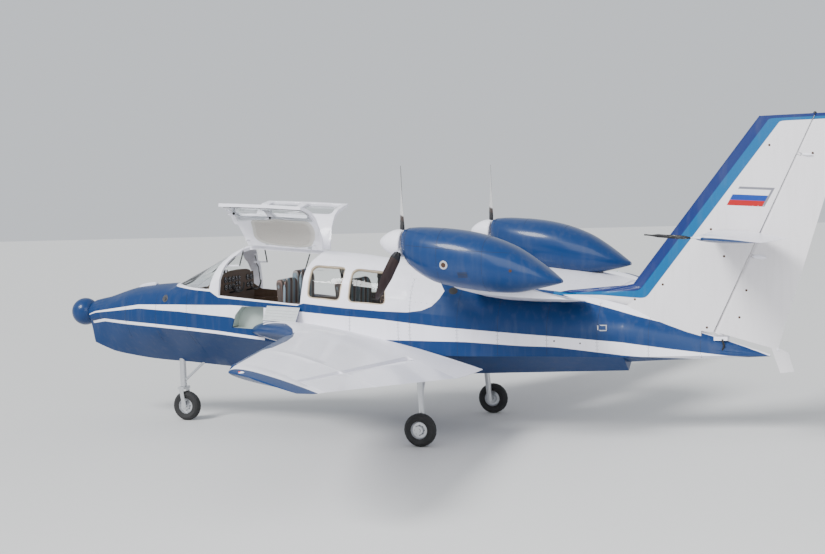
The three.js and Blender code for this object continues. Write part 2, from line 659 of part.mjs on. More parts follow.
// Wings
// columns: y, lead station, lead z, trail station, trail z, depth above the chord line, depth below it
const wingSections = [
  [200, 3180, 330, 6320, -130, 225, 80],
  [700, 3230, 333, 6345, -130, 225, 85],
  [900, 3420, 350, 6365, -125, 225, 95],
  [1300, 3900, 380, 6405, -108, 212, 100],
  [1750, 4370, 385, 6450, -80, 190, 90],
  [5900, 5920, 560, 6850, 370, 85, 40],
  [6200, 6045, 573, 6870, 400, 62, 30],
  [overallSpan / 2, 6330, 560, 6790, 425, 8, 8],
];
function wingAt(y) {
  const next = wingSections.findIndex((section) => section[0] > y);
  const [a, b] = [wingSections[next - 1], wingSections[next]];
  const share = (y - a[0]) / (b[0] - a[0]);
  return a.map((value, i) => value + (b[i] - value) * share);
}
function wingPlace([y, leadS, leadZ, trailS, trailZ, above, below]) {
  return (f, side) => {
    const depth = thicknessShape(f) * (side > 0 ? above : -below);
    return at(leadS + f * (trailS - leadS), y, leadZ + f * (trailZ - leadZ) + depth);
  };
}
const wingLoft = loftSolid(wingSections.map((section) => aerofoilRing(wingPlace(section))), "y");
const wholeWing = largestPart(wingLoft.subtract(hullClear));

const hingeChord = 0.75;
// columns: name, joint name, inner y, outer y, most degrees up, most degrees down
const wingSurfaces = [
  ["flap", "flap_hinge", 1800, 4560, 0, 30],
  ["aileron", "aileron_hinge", 4640, 5960, 18, 18],
];
let wing = wholeWing;
for (const [name, joint, inner, outer, up, down] of wingSurfaces) {
  const hingePoint = (y) => {
    const place = wingPlace(wingAt(y));
    return place(hingeChord, 1).add(place(hingeChord, -1)).multiplyScalar(0.5);
  };
  const radius = (y) => {
    const [, , , , , above, below] = wingAt(y);
    return (thicknessShape(hingeChord) * (above + below)) / 2;
  };
  const { surface, carrier, along } = hingedSurface(wing, {
    start: hingePoint(inner), end: hingePoint(outer), aft: new THREE.Vector3(-1, 0, 0),
    startRadius: radius(inner), endRadius: radius(outer), flatAxis: "y",
    shares: [0.14, 0.86],
  });
  wing = carrier;
  addPair(name, name, surface, "hullWhite");
  addJointPair(joint, name, hingePoint(inner), along, [-down, up]);
}
// Slats: fixed strips ahead of a recessed leading edge, each on four ribs
const slat = {
  inner: 2300, outer: 5600, ahead: 95, drop: 30, upper: 0.085, lower: 0.035, hollow: 0.3, gap: 25, ribs: 4,
};
function slatOuter(y) {
  const place = wingPlace(wingAt(y));
  const shift = new THREE.Vector3(slat.ahead, 0, -slat.drop);
  return [
    ...[1, 0.6, 0.25].map((share) => place(share * slat.upper, 1)),
    ...[0, 0.4, 1].map((share) => place(share * slat.lower, -1)),
  ].map((p) => p.add(shift));
}
function slatRing(y) {
  const outer = slatOuter(y);
  const middle = outer[0].clone().lerp(outer[outer.length - 1], 0.5);
  return [...outer, ...outer.slice(1, -1).map((p) => p.clone().lerp(middle, slat.hollow)).reverse()];
}
function recessRing(y) {
  const middle = slatOuter(y)[0].lerp(slatOuter(y).at(-1), 0.5);
  const outer = slatOuter(y).map((p) => p.lerp(middle, -0.04));
  const aft = new THREE.Vector3(-slat.gap, 0, 0);
  return [outer[0].clone().add(aft), ...outer, outer[outer.length - 1].clone().add(aft)];
}
const slatEnds = [slat.inner - 15, slat.outer + 15];
wing = largestPart(wing.subtract(loftSolid(slatEnds.map(recessRing), "y")));
addPair("wing", "root", wing, "hullWhite");
let slatStrip = loftSolid([slatRing(slat.inner), slatRing(slat.outer)], "y");
const wingClear = wing.add(wing.translate([seatGap, 0, 0]));
for (let rib = 0; rib < slat.ribs; rib += 1) {
  const y = slat.inner + 120 + ((slat.outer - slat.inner - 240) * rib) / (slat.ribs - 1);
  const [, leadS, leadZ, trailS] = wingAt(y);
  const ribFront = leadS - slat.ahead + 10;
  const ribBack = leadS - slat.ahead + slat.upper * (trailS - leadS) + slat.gap + 15;
  const ribZ = leadZ - slat.drop;
  const plate = stationBox([ribFront, ribBack], [y - 6, y + 6], [ribZ - 12, ribZ + 12]);
  slatStrip = slatStrip.add(plate.subtract(wingClear));
}
addPair("slat", "root", largestPart(slatStrip), "hullWhite");

// Fin, rudder and all-moving tailplane
const finTop = overallHeight - floatingLine;
const finRoot = 80;
const finLean = { lead: 0.796, trail: 0.3214, hinge: 0.472 };
const finPlace = (z) => (f, side) => {
  const lead = 8080 + finLean.lead * (z - 850);
  const trail = overallLength - finLean.trail * (finTop - z);
  const half = 86 - 0.016 * (z - finRoot);
  return at(lead + f * (trail - lead), side * half * thicknessShape(f), z);
};
const dorsalSections = [
  [7160, 10, 500, 705, 765],
  [7670, 34, 500, 752, 812],
  [8150, 52, 500, 802, 862],
  [8400, 40, 500, 840, 900],
];
const dorsal = loftSolid(dorsalSections.map(ridgeRing), "x");
const finAerofoil = loftSolid([aerofoilRing(finPlace(finRoot)), aerofoilRing(finPlace(finTop))], "z");
const hingeStation = (z) => 9090 + finLean.hinge * (z - 240);
const rudderFoot = [[8900, 300], [9130, 268], [9810, 64], [9900, -200], [8900, -200]];
const rudderBase = finAerofoil.subtract(sidePrism(rudderFoot, -400, 400));
const finHalfAt = (z) => {
  const place = finPlace(z);
  const lead = place(0, 1).x;
  const trail = place(1, 1).x;
  const share = (noseX - hingeStation(z) - lead) / (trail - lead);
  return place(share, 1).y;
};
const hingeFootZ = 250;
const hingeTopZ = finTop + 200;
const rudderHinge = {
  start: at(hingeStation(hingeFootZ), 0, hingeFootZ), end: at(hingeStation(hingeTopZ), 0, hingeTopZ),
  aft: new THREE.Vector3(-1, 0, 0), startRadius: finHalfAt(hingeFootZ), endRadius: finHalfAt(hingeTopZ),
  flatAxis: "z", shares: [0.335, 0.76],
};
const tail = hingedSurface(rudderBase, rudderHinge);
const finClip = stationBox([7000, 10700], [-400, 400], [-200, finTop]);
const tailplane = { shaftStation: 9340, shaftZ: 1415, shaftRadius: 24, rootY: 95, halfSpan: 1950 };
function tailShaft(halfLength, radius) {
  const { shaftStation, shaftZ } = tailplane;
  const ends = [-halfLength, halfLength].map((y) => at(shaftStation, y, shaftZ));
  return rodSolid(...ends, radius, radius, shaftSides);
}
const tailShaftBore = tailShaft(400, boreRadius(tailplane.shaftRadius, shaftSides));
const fin = tail.carrier.add(dorsal).subtract(hullClear).subtract(tailShaftBore);
addPiece("fin", "root", largestPart(fin.intersect(finClip)), "hullWhite");
const waterRudderOutline = [[9700, 110], [9795, 90], [9900, 40], [9960, -180], [9800, -200], [9735, 0]];
const waterRudder = sidePrism(waterRudderOutline, -7, 7);
const rudder = tail.surface.intersect(finClip).add(waterRudder);
addPiece("rudder", "rudder", largestPart(rudder), "hullWhite");
addJoint("rudder_hinge", "rudder", rudderHinge.start, tail.along, [-25, 25]);

// columns: y, lead station, lead z, trail station, trail z, half depth
const tailSections = [
  [tailplane.rootY, 9040, 1452, 9985, 1372, 50],
  [1850, 9240, 1472, 9940, 1410, 34],
  [tailplane.halfSpan, 9330, 1466, 9915, 1413, 8],
];
const tailHalf = loftSolid(tailSections.map(([y, leadS, leadZ, trailS, trailZ, depth]) => (
  aerofoilRing(wingPlace([y, leadS, leadZ, trailS, trailZ, depth, depth]))
)), "y");
const rudderSwing = loftSolid([
  [at(9600, -50, 1200), at(9600, 125, 1200), at(10100, 390, 1200), at(10100, -50, 1200)],
  [at(9600, -50, 1600), at(9600, 125, 1600), at(10100, 390, 1600), at(10100, -50, 1600)],
], "z");
const balanceRod = rodSolid(at(9400, 1870, 1462), at(8700, 1870, 1520), 12, 9);
const tailPort = tailHalf.subtract(rudderSwing).add(balanceRod);
const tailSolid = tailPort
  .add(mirrorSolid(tailPort))
  .add(tailShaft(tailplane.rootY + 40, tailplane.shaftRadius));
addPiece("tailplane", "tailplane", largestPart(tailSolid), "hullWhite");
const toPort = new THREE.Vector3(0, 1, 0);
addJoint("tailplane_pivot", "tailplane", at(tailplane.shaftStation, 0, tailplane.shaftZ), toPort, [-10, 10]);

// Nacelles on stub pylons
// columns: station, top z, bottom z, half width
const nacelleSections = [
  [5800, 1632, 1292, 172],
  [5880, 1648, 1190, 245],
  [6180, 1640, 1010, 345],
  [6550, 1596, 932, 372],
  [6850, 1520, 893, 355],
  [7150, 1395, 882, 300],
  [7420, 1215, 930, 215],
  [7600, 1075, 968, 120],
  [7668, 1022, 986, 40],
];
const nacelleRing = ([station, top, bottom, halfWidth]) => {
  const ring = [];
  const sides = 16;
  const fullness = 0.86;
  for (let i = 0; i < sides; i += 1) {
    const angle = (i / sides) * 2 * Math.PI;
    const [c, s] = [Math.cos(angle), Math.sin(angle)];
    const y = Math.sign(c) * Math.abs(c) ** fullness * halfWidth;
    const z = (top + bottom) / 2 + (Math.sign(s) * Math.abs(s) ** fullness * (top - bottom)) / 2;
    ring.push(at(station, nacelleY + y, z));
  }
  return ring;
};
const nacelleWhole = loftSolid(nacelleSections.map(nacelleRing), "x");
// The engine is a block that narrows towards the propeller; it rests on the floor of its bay.
// columns: station, half width, bottom z, top z
const engineEnds = [
  [6100, 200, 1170, 1485],
  [6760, 250, 1025, 1420],
];
const bayMargin = { ends: 20, sides: 15 };
const engineRing = ([station, halfWidth, bottom, top]) => [
  at(station, nacelleY - halfWidth, bottom), at(station, nacelleY + halfWidth, bottom),
  at(station, nacelleY + halfWidth, top), at(station, nacelleY - halfWidth, top),
];
const pastEnd = bayMargin.ends / (engineEnds[1][0] - engineEnds[0][0]);
const bayEnds = [-pastEnd, 1 + pastEnd].map((share) => {
  const ring = engineEnds[0].map((value, i) => value + (engineEnds[1][i] - value) * share);
  return [ring[0], ring[1] + bayMargin.sides, ring[2] - seatGap, ring[3] + bayMargin.sides];
});
const bay = loftSolid(bayEnds.map(engineRing), "x");
const thrustAxis = new THREE.Vector3(1, 0, noseUpSlope).normalize();
const propellerCentre = at(propellerStation, nacelleY, propellerZ);
const alongThrust = (distance) => propellerCentre.clone().addScaledVector(thrustAxis, distance);
const shaftBack = propellerStation - engineEnds[0][0] + 4;
const shaftBoreRadius = boreRadius(shaftRadius, shaftSides);
const shaftBore = rodSolid(alongThrust(0), alongThrust(-420), shaftBoreRadius, shaftBoreRadius, shaftSides);
const nacelle = nacelleWhole.subtract(bay).subtract(shaftBore);
addPair("nacelle", "root", largestPart(nacelle), "hullBlue");
addPair("engine", "root", loftSolid(engineEnds.map(engineRing), "x"), "bareMetal");

const pylonSections = [
  [150, 6150, 790, 7560, 660, 75, 75],
  [1500, 6330, 975, 7700, 800, 85, 60],
];
const pylonLoft = loftSolid(pylonSections.map((section) => aerofoilRing(wingPlace(section))), "y");
const nacelleClear = nacelleWhole.translate([0, 0, -seatGap]).add(nacelleWhole.translate([0, -seatGap, 0]));
addPair("pylon", "root", largestPart(pylonLoft.subtract(hullClear).subtract(nacelleClear)), "hullWhite");

// Propellers: three blades, a pointed spinner and the shaft in one turning piece. Both turn the same way.
// columns: distance from the axis, chord, thickness, pitch in degrees
const bladeSections = [
  [60, 70, 62, 80],
  [160, 78, 50, 62],
  [260, 128, 30, 46],
  [520, 148, 18, 30],
  [780, 118, 11, 22],
  [propellerRadius, 52, 6, 19],
];
const bladeOutline = [[-0.5, 0], [-0.2, 0.48], [0.2, 0.45], [0.5, 0], [0.2, -0.45], [-0.2, -0.48]];
const bladeRing = ([radius, chord, thickness, pitch]) => {
  const ring = [];
  const turn = -THREE.MathUtils.degToRad(pitch);
  for (const [across, lift] of bladeOutline) {
    const u = across * chord;
    const v = lift * thickness;
    const [ahead, aside] = [u * Math.sin(turn) + v * Math.cos(turn), u * Math.cos(turn) - v * Math.sin(turn)];
    ring.push(new THREE.Vector3(ahead, aside, radius));
  }
  return ring;
};
const bladeSolid = loftSolid(bladeSections.map(bladeRing), "z");
const spinnerProfile = [[0, -10], [spinnerRadius - 6, -10], [spinnerRadius, 0]];
const spinnerSteps = 5;
for (let i = 1; i <= spinnerSteps; i += 1) {
  const share = i / spinnerSteps;
  spinnerProfile.push([spinnerRadius * (1 - share ** 2) ** 0.75, spinnerLength * share]);
}
spinnerProfile[spinnerProfile.length - 1][0] = 0;
const spinnerShape = new THREE.LatheGeometry(spinnerProfile.map(([r, x]) => new THREE.Vector2(r, x)), 18);
spinnerShape.rotateZ(-Math.PI / 2);
const bladeTurn = -10.5;
let propeller = toSolid(spinnerShape);
for (let i = 0; i < 3; i += 1) {
  propeller = propeller.add(bladeSolid.rotate([bladeTurn + i * 120, 0, 0]));
}
const lean = -THREE.MathUtils.radToDeg(Math.atan(noseUpSlope));
propeller = propeller.rotate([0, lean, 0]).translate(propellerCentre.toArray());
const shaftEnds = [alongThrust(20), alongThrust(shaftBack)];
propeller = propeller.add(rodSolid(...shaftEnds, shaftRadius, shaftRadius, shaftSides));
addPiece("propeller_port", "propeller_port", largestPart(propeller), "bladeBrown");
const starboardPropeller = largestPart(propeller.translate([0, -2 * nacelleY, 0]));
addPiece("propeller_starboard", "propeller_starboard", starboardPropeller, "bladeBrown");
addJointPair("propeller_spin", "propeller", propellerCentre, thrustAxis, "continuous");

// Wheels: a tyre on a rim, turning on an axle
const hubRadius = 22;
const wheelSides = 24;
function tyreSolid() {
  const half = tyreWidth / 2;
  const profile = [
    [rimRadius + seatGap, -half * 0.7], [tyreRadius - 40, -half], [tyreRadius - 12, -half * 0.72],
    [tyreRadius, -half * 0.35], [tyreRadius, half * 0.35], [tyreRadius - 12, half * 0.72],
    [tyreRadius - 40, half], [rimRadius + seatGap, half * 0.7], [rimRadius + seatGap, -half * 0.7],
  ];
  return toSolid(new THREE.LatheGeometry(profile.map(([r, y]) => new THREE.Vector2(r, y)), wheelSides));
}
function rimSolid() {
  const half = tyreWidth / 2;
  const profile = [
    [hubRadius, -half * 0.8], [50, -half * 0.8], [60, -half * 0.35], [rimRadius - 14, -half * 0.35],
    [rimRadius, -half * 0.72], [rimRadius, half * 0.72], [rimRadius - 14, half * 0.35], [60, half * 0.35],
    [50, half * 0.8], [hubRadius, half * 0.8], [hubRadius, -half * 0.8],
  ];
  return toSolid(new THREE.LatheGeometry(profile.map(([r, y]) => new THREE.Vector2(r, y)), wheelSides));
}
const axleZ = tyreRadius + groundZ;
const noseAxle = at(noseWheelStation, 0, axleZ);
const mainAxle = at(mainWheelStation, mainWheelY, axleZ);
const noseSteer = at(noseSteerStation, 0, axleZ);
addPiece("nose_tyre", "nose_wheel", tyreSolid().translate(noseAxle.toArray()), "tyreRubber");
addPiece("nose_rim", "nose_wheel", rimSolid().translate(noseAxle.toArray()), "bareMetal");
addPair("main_tyre", "main_wheel", tyreSolid().translate(mainAxle.toArray()), "tyreRubber");
addPair("main_rim", "main_wheel", rimSolid().translate(mainAxle.toArray()), "bareMetal");

const axleRadius = hubRadius - bearingGap;
const forkHalf = tyreWidth / 2 + 22;
const forkCrown = axleZ + tyreRadius + 45;
const postRadius = 28;
const crownDepth = 20;
const sleeveRadius = 44;
const postTop = -260;
const armProfile = [
  [noseSteerStation - 30, forkCrown], [noseSteerStation + 30, forkCrown],
  [noseWheelStation + 28, axleZ], [noseWheelStation, axleZ - 28], [noseWheelStation - 28, axleZ],
];
const crownStations = [noseSteerStation - 45, noseSteerStation + 45];
const noseAxleEnds = [-forkHalf, forkHalf].map((y) => at(noseWheelStation, y, axleZ));
const steerAt = (z) => at(noseSteerStation, 0, z);
const noseFork = sidePrism(armProfile, forkHalf - 14, forkHalf)
  .add(sidePrism(armProfile, -forkHalf, -forkHalf + 14))
  .add(stationBox(crownStations, [-forkHalf, forkHalf], [forkCrown - 12, forkCrown + crownDepth]))
  .add(rodSolid(...noseAxleEnds, axleRadius, axleRadius, pinSides))
  .add(rodSolid(steerAt(forkCrown), steerAt(postTop), postRadius, postRadius, shaftSides));
addPiece("nose_fork", "nose_fork", noseFork, "bareMetal");

const hullSeat = hull.translate([0, 0, -seatGap]);
const sleeveBottom = forkCrown + crownDepth + movingGap;
const postBore = boreRadius(postRadius, shaftSides);
const noseLeg = rodSolid(steerAt(sleeveBottom), steerAt(0), sleeveRadius, sleeveRadius, pinSides)
  .subtract(rodSolid(steerAt(sleeveBottom - 10), steerAt(postTop + 2), postBore, postBore, shaftSides))
  .add(rodSolid(at(noseSteerStation + 43, 0, sleeveBottom + 90), at(noseSteerStation + 420, 0, -100), 18))
  .subtract(hullSeat);
addPiece("nose_leg", "root", largestPart(noseLeg), "bareMetal");
const upward = new THREE.Vector3(0, 0, 1);
addJoint("nose_steering", "nose_fork", noseSteer, upward, [-30, 30]);
addJoint("nose_wheel_spin", "nose_wheel", noseAxle, toPort, "continuous", "nose_fork");

const legInnerY = mainWheelY - tyreWidth / 2 - 40;
const wingSeat = wing.translate([0, 0, -seatGap]);
const legAt = (aft, inboard, z) => at(mainWheelStation + aft, legInnerY - inboard, z);
const mainLeg = rodSolid(legAt(-10, 0, axleZ - 20), legAt(-60, 60, 100), 36, 40, pinSides)
  .add(rodSolid(legAt(0, 20, axleZ), legAt(0, -40 - tyreWidth, axleZ), axleRadius, axleRadius, pinSides))
  .add(rodSolid(legAt(-40, 30, -430), legAt(-60, 380, 60), 20))
  .subtract(wingSeat)
  .subtract(hullSeat);
addPair("main_leg", "root", largestPart(mainLeg), "bareMetal");
addJointPair("main_wheel_spin", "main_wheel", mainAxle, toPort, "continuous");

// The side locker's lid, lifted off and slid aft, leans between the wing root and the hull side.
const lidThickness = 14;
const lidAft = new THREE.Vector3(-1, 0, -0.06).normalize();
const lidUp = new THREE.Vector3(0, -0.62, 0.784).normalize();
const lidOut = new THREE.Vector3().crossVectors(lidAft, lidUp);
const lidFrame = new THREE.Matrix4().makeBasis(lidAft, lidUp, lidOut).setPosition(at(3452, 800, 480));
const lid = framedBox(lidFrame, [0, 470], [0, 222], [0, lidThickness])
  .subtract(wing.translate([0, 0, seatGap]))
  .subtract(hullClear);
addPiece("locker_lid", "root", largestPart(lid), "hullBlue");

export default plane;
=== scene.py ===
import math

import bmesh
import bpy
import numpy as np
from mathutils import Matrix, Vector
from mathutils.bvhtree import BVHTree


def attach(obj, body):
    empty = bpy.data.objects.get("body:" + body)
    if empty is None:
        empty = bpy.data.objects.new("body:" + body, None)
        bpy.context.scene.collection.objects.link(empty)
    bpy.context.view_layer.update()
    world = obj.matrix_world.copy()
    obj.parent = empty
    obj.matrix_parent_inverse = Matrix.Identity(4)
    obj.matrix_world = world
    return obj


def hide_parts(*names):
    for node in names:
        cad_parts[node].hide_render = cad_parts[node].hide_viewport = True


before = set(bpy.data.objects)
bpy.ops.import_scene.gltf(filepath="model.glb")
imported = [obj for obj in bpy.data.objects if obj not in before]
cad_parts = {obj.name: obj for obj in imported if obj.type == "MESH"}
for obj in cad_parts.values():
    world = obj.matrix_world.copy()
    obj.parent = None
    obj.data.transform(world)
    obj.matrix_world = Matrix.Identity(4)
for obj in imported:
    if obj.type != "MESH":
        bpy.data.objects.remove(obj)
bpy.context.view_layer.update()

# Places are a station aft of the nose, a distance to port and a height over the floating line, in metres
plane = {"noseX": 5.325, "floatLine": 0.970, "finTop": 2.787}
sides = ("port", "starboard")


def at(station, y, z):
    return Vector((plane["noseX"] - station, y, plane["floatLine"] + z))


def newObject(name, data):
    thing = bpy.data.objects.new(name, data)
    bpy.context.scene.collection.objects.link(thing)
    return thing


def meshFrom(name, points, faces=()):
    mesh = bpy.data.meshes.new(name)
    mesh.from_pydata([tuple(p) for p in points], [], faces)
    return mesh


# Camera, floor and light
view = {
    "station": 12.574, "y": 17.447, "z": 2.164, "yaw": 0.39953, "pitch": -0.06318, "roll": -0.03731,
    "focalPixels": 1485.55, "pictureWidth": 825, "sensorWidth": 36, "farthest": 500,
}


def makeCamera():
    data = bpy.data.cameras.new("photoCamera")
    data.sensor_width = view["sensorWidth"]
    data.lens = view["focalPixels"] / view["pictureWidth"] * view["sensorWidth"]
    data.clip_end = view["farthest"]
    camera = newObject("photoCamera", data)
    yaw, pitch, roll = view["yaw"], view["pitch"], view["roll"]
    forward = Vector((math.sin(yaw) * math.cos(pitch), -math.cos(yaw) * math.cos(pitch), math.sin(pitch)))
    right = Vector((-math.cos(yaw), -math.sin(yaw), 0))
    up = right.cross(forward)
    tiltedRight = math.cos(roll) * right + math.sin(roll) * up
    tiltedUp = math.cos(roll) * up - math.sin(roll) * right
    turn = Matrix((tiltedRight, tiltedUp, -forward)).transposed().to_4x4()
    camera.matrix_world = Matrix.Translation(at(view["station"], view["y"], view["z"])) @ turn
    bpy.context.scene.camera = camera


stage = {
    "floorHalf": 70.0, "floorColour": (0.66, 0.66, 0.65, 1), "floorRoughness": 0.8,
    "skyColour": (0.88, 0.92, 0.97, 1), "skyStrength": 0.85,
    "sunStrength": 3.6, "sunAngle": 20, "sunTurn": (48, 0, 158),
    "fillPower": 900, "fillSize": 9.0, "fillPlace": (-6.0, 13.0, 8.0),
}


def makeStage():
    half = stage["floorHalf"]
    corners = [(-half, -half, 0), (half, -half, 0), (half, half, 0), (-half, half, 0)]
    floor = newObject("floor", meshFrom("floor", corners, [(0, 1, 2, 3)]))
    material, tree, shader = makeMaterial("floorPale", stage["floorRoughness"])
    shader.inputs["Base Color"].default_value = stage["floorColour"]
    floor.data.materials.append(material)
    world = bpy.data.worlds.new("softSky")
    world.use_nodes = True
    sky = world.node_tree.nodes["Background"].inputs
    sky["Color"].default_value = stage["skyColour"]
    sky["Strength"].default_value = stage["skyStrength"]
    bpy.context.scene.world = world
    sunData = bpy.data.lights.new("softSun", "SUN")
    sunData.energy = stage["sunStrength"]
    sunData.angle = math.radians(stage["sunAngle"])
    newObject("softSun", sunData).rotation_euler = [math.radians(a) for a in stage["sunTurn"]]
    fillData = bpy.data.lights.new("fill", "AREA")
    fillData.energy = stage["fillPower"]
    fillData.size = stage["fillSize"]
    fill = newObject("fill", fillData)
    fill.location = stage["fillPlace"]
    fill.rotation_euler = (-Vector(stage["fillPlace"])).to_track_quat("-Z", "Y").to_euler()


# An output in a node tree, so that sums over a surface read as sums
class Field:
    def __init__(self, socket):
        self.socket = socket
        self.tree = socket.id_data

    def __add__(self, other):
        return maths("ADD", self, other)

    def __sub__(self, other):
        return maths("SUBTRACT", self, other)

    def __rsub__(self, other):
        return maths("SUBTRACT", other, self)

    def __mul__(self, other):
        return maths("MULTIPLY", self, other)

    def __truediv__(self, other):
        return maths("DIVIDE", self, other)


def addNode(tree, kind, inputs, output=0, **settings):
    node = tree.nodes.new(kind)
    for key, value in settings.items():
        setattr(node, key, value)
    for key, value in inputs.items():
        if isinstance(value, Field):
            tree.links.new(value.socket, node.inputs[key])
        else:
            node.inputs[key].default_value = value
    return Field(node.outputs[output])


def maths(operation, *values, clamp=False):
    tree = next(value.tree for value in values if isinstance(value, Field))
    return addNode(tree, "ShaderNodeMath", dict(enumerate(values)), operation=operation, use_clamp=clamp)


def mix(share, a, b):
    return addNode(share.tree, "ShaderNodeMix", {0: share, 6: a, 7: b}, 2, data_type="RGBA")


def split(tree, coordinates):
    vector = addNode(tree, "ShaderNodeTexCoord", {}, coordinates)
    node = addNode(tree, "ShaderNodeSeparateXYZ", {0: vector}).socket.node
    return [Field(output) for output in node.outputs]


def readPlace(tree):
    x, y, z = split(tree, "Object")
    return plane["noseX"] - x, maths("ABSOLUTE", y), z - plane["floatLine"]


def readFacing(tree):
    ahead, aside, up = split(tree, "Normal")
    return ahead, aside * maths("SIGN", split(tree, "Object")[1]), up


def addNoise(vector, scale, detail):
    return addNode(vector.tree, "ShaderNodeTexNoise", {"Vector": vector, "Scale": scale, "Detail": detail})


def addBump(height, strength, distance):
    inputs = {"Strength": strength, "Distance": distance, "Height": height}
    return addNode(height.tree, "ShaderNodeBump", inputs, "Normal")


lineSpan = {"end": 11.0, "lowest": -4.0, "rise": 8.0, "edgeWidth": 0.004}


def line(value, points):
    scaled = maths("DIVIDE", value, lineSpan["end"], clamp=True)
    curved = addNode(value.tree, "ShaderNodeFloatCurve", {"Value": scaled})
    mapping = curved.socket.node.mapping
    spots = mapping.curves[0].points
    while len(spots) < len(points):
        spots.new(0.5, 0.5)
    for spot, (s, z) in zip(spots, points):
        spot.location = (s / lineSpan["end"], (z - lineSpan["lowest"]) / lineSpan["rise"])
        spot.handle_type = "VECTOR"
    mapping.update()
    return curved * lineSpan["rise"] + lineSpan["lowest"]


def step(value, edge, width=lineSpan["edgeWidth"]):
    return maths("ADD", (value - edge) / width, 0.5, clamp=True)


def within(value, low, high, width=lineSpan["edgeWidth"]):
    return step(value, low, width) * step(high, value, width)


def band(s, z, name):
    return step(z, line(s, paintLines[name + "Low"])) * step(line(s, paintLines[name + "High"]), z)


def most(mask, *others):
    for other in others:
        mask = maths("MAXIMUM", mask, other)
    return mask


# Shared finishes, as groups: each takes a colour and gives it back with the marks of use
def makeGroup(name, inputs, outputs, treeKind="ShaderNodeTree"):
    group = bpy.data.node_groups.new(name, treeKind)
    for label, kind, value in inputs:
        socket = group.interface.new_socket(name=label, in_out="INPUT", socket_type="NodeSocket" + kind)
        if value is not None:
            socket.default_value = value
    for label, kind in outputs:
        group.interface.new_socket(name=label, in_out="OUTPUT", socket_type="NodeSocket" + kind)
    source = group.nodes.new("NodeGroupInput")
    given = {output.name: Field(output) for output in source.outputs if output.name}
    return group, given, group.nodes.new("NodeGroupOutput")


def giveBack(sink, **values):
    for label, value in values.items():
        value.tree.links.new(value.socket, sink.inputs[label])


wear = {
    "colour": (0.5, 0.5, 0.5, 1), "fadedColour": (0.75, 0.78, 0.82, 1), "dirtColour": (0.26, 0.23, 0.19, 1),
    "broad": (0.8, 4.0), "fadedFrom": 0.42, "streakStretch": (7.0, 7.0, 0.8), "streak": (2.0, 5.0),
    "stainFrom": 0.5, "fine": (60.0, 3.0), "fineRoughness": 0.12, "stainRoughness": 0.5,
    "bumpStrength": 0.015, "bumpDepth": 0.001, "coatRoughness": 0.08, "specular": 0.22,
    "grainDetail": 6.0, "grainDepth": 0.003,
}


def makePaintGroup():
    group, given, sink = makeGroup(
        "paintWear",
        [("Color", "Color", wear["colour"]), ("Roughness", "Float", 0.3), ("Dirt", "Float", 0.4),
         ("Fading", "Float", 0.3)],
        [("Color", "Color"), ("Roughness", "Float"), ("Normal", "Vector")],
    )
    place = addNode(group, "ShaderNodeTexCoord", {}, "Object")
    broad = addNoise(place, *wear["broad"])
    stretched = addNode(group, "ShaderNodeMapping", {"Vector": place, "Scale": wear["streakStretch"]})
    streak = addNoise(stretched, *wear["streak"])
    fine = addNoise(place, *wear["fine"])
    faded = maths("SUBTRACT", broad, wear["fadedFrom"], clamp=True) * given["Fading"]
    stained = maths("SUBTRACT", streak, wear["stainFrom"], clamp=True) * given["Dirt"]
    dusty = mix(stained, mix(faded, given["Color"], wear["fadedColour"]), wear["dirtColour"])
    rough = given["Roughness"] + fine * wear["fineRoughness"] + stained * wear["stainRoughness"]
    bump = addBump(fine, wear["bumpStrength"], wear["bumpDepth"])
    giveBack(sink, Color=dusty, Roughness=rough, Normal=bump)
    return group


def makeGrainGroup():
    group, given, sink = makeGroup(
        "fineGrain",
        [("Color", "Color", wear["colour"]), ("Scale", "Float", 40.0), ("Contrast", "Float", 0.3),
         ("Depth", "Float", 0.3)],
        [("Color", "Color"), ("Normal", "Vector")],
    )
    grain = addNoise(addNode(group, "ShaderNodeTexCoord", {}, "Object"), given["Scale"], wear["grainDetail"])
    change = (grain - 0.5) * given["Contrast"] + 1.0
    toned = addNode(group, "ShaderNodeVectorMath", {0: given["Color"], 1: change}, operation="MULTIPLY")
    giveBack(sink, Color=toned, Normal=addBump(grain, given["Depth"], wear["grainDepth"]))
    return group


paintWear = makePaintGroup()
fineGrain = makeGrainGroup()


def makeMaterial(name, roughness, metallic=0.0):
    material = bpy.data.materials.new(name)
    material.use_nodes = True
    shader = material.node_tree.nodes["Principled BSDF"]
    shader.inputs["Roughness"].default_value = roughness
    shader.inputs["Metallic"].default_value = metallic
    return material, material.node_tree, shader


def useGroup(tree, shader, group, colour, **values):
    node = tree.nodes.new("ShaderNodeGroup")
    node.node_tree = group
    if callable(colour):
        tree.links.new(colour(tree).socket, node.inputs["Color"])
    else:
        node.inputs["Color"].default_value = colour
    for label, value in values.items():
        node.inputs[label].default_value = value
    for label, target in (("Color", "Base Color"), ("Roughness", "Roughness"), ("Normal", "Normal")):
        if label in node.outputs:
            tree.links.new(node.outputs[label], shader.inputs[target])


def makePaint(name, colour, roughness=0.30, dirt=0.3, fading=0.03, coat=0.12):
    material, tree, shader = makeMaterial(name, roughness)
    useGroup(tree, shader, paintWear, colour, Roughness=roughness, Dirt=dirt, Fading=fading)
    shader.inputs["Coat Weight"].default_value = coat
    shader.inputs["Coat Roughness"].default_value = wear["coatRoughness"]
    shader.inputs["Specular IOR Level"].default_value = wear["specular"]
    return material


def makeGrained(name, colour, roughness, metallic=0.0, scale=40.0, contrast=0.35, depth=0.25):
    material, tree, shader = makeMaterial(name, roughness, metallic)
    useGroup(tree, shader, fineGrain, colour, Scale=scale, Contrast=contrast, Depth=depth)
    return material


glazing = {
    "roughness": 0.02, "smear": (6.0, 3.0), "smearFrom": 0.5, "smearStrength": 0.12, "clearRoughness": 0.01,
    "bending": 1.3,
}


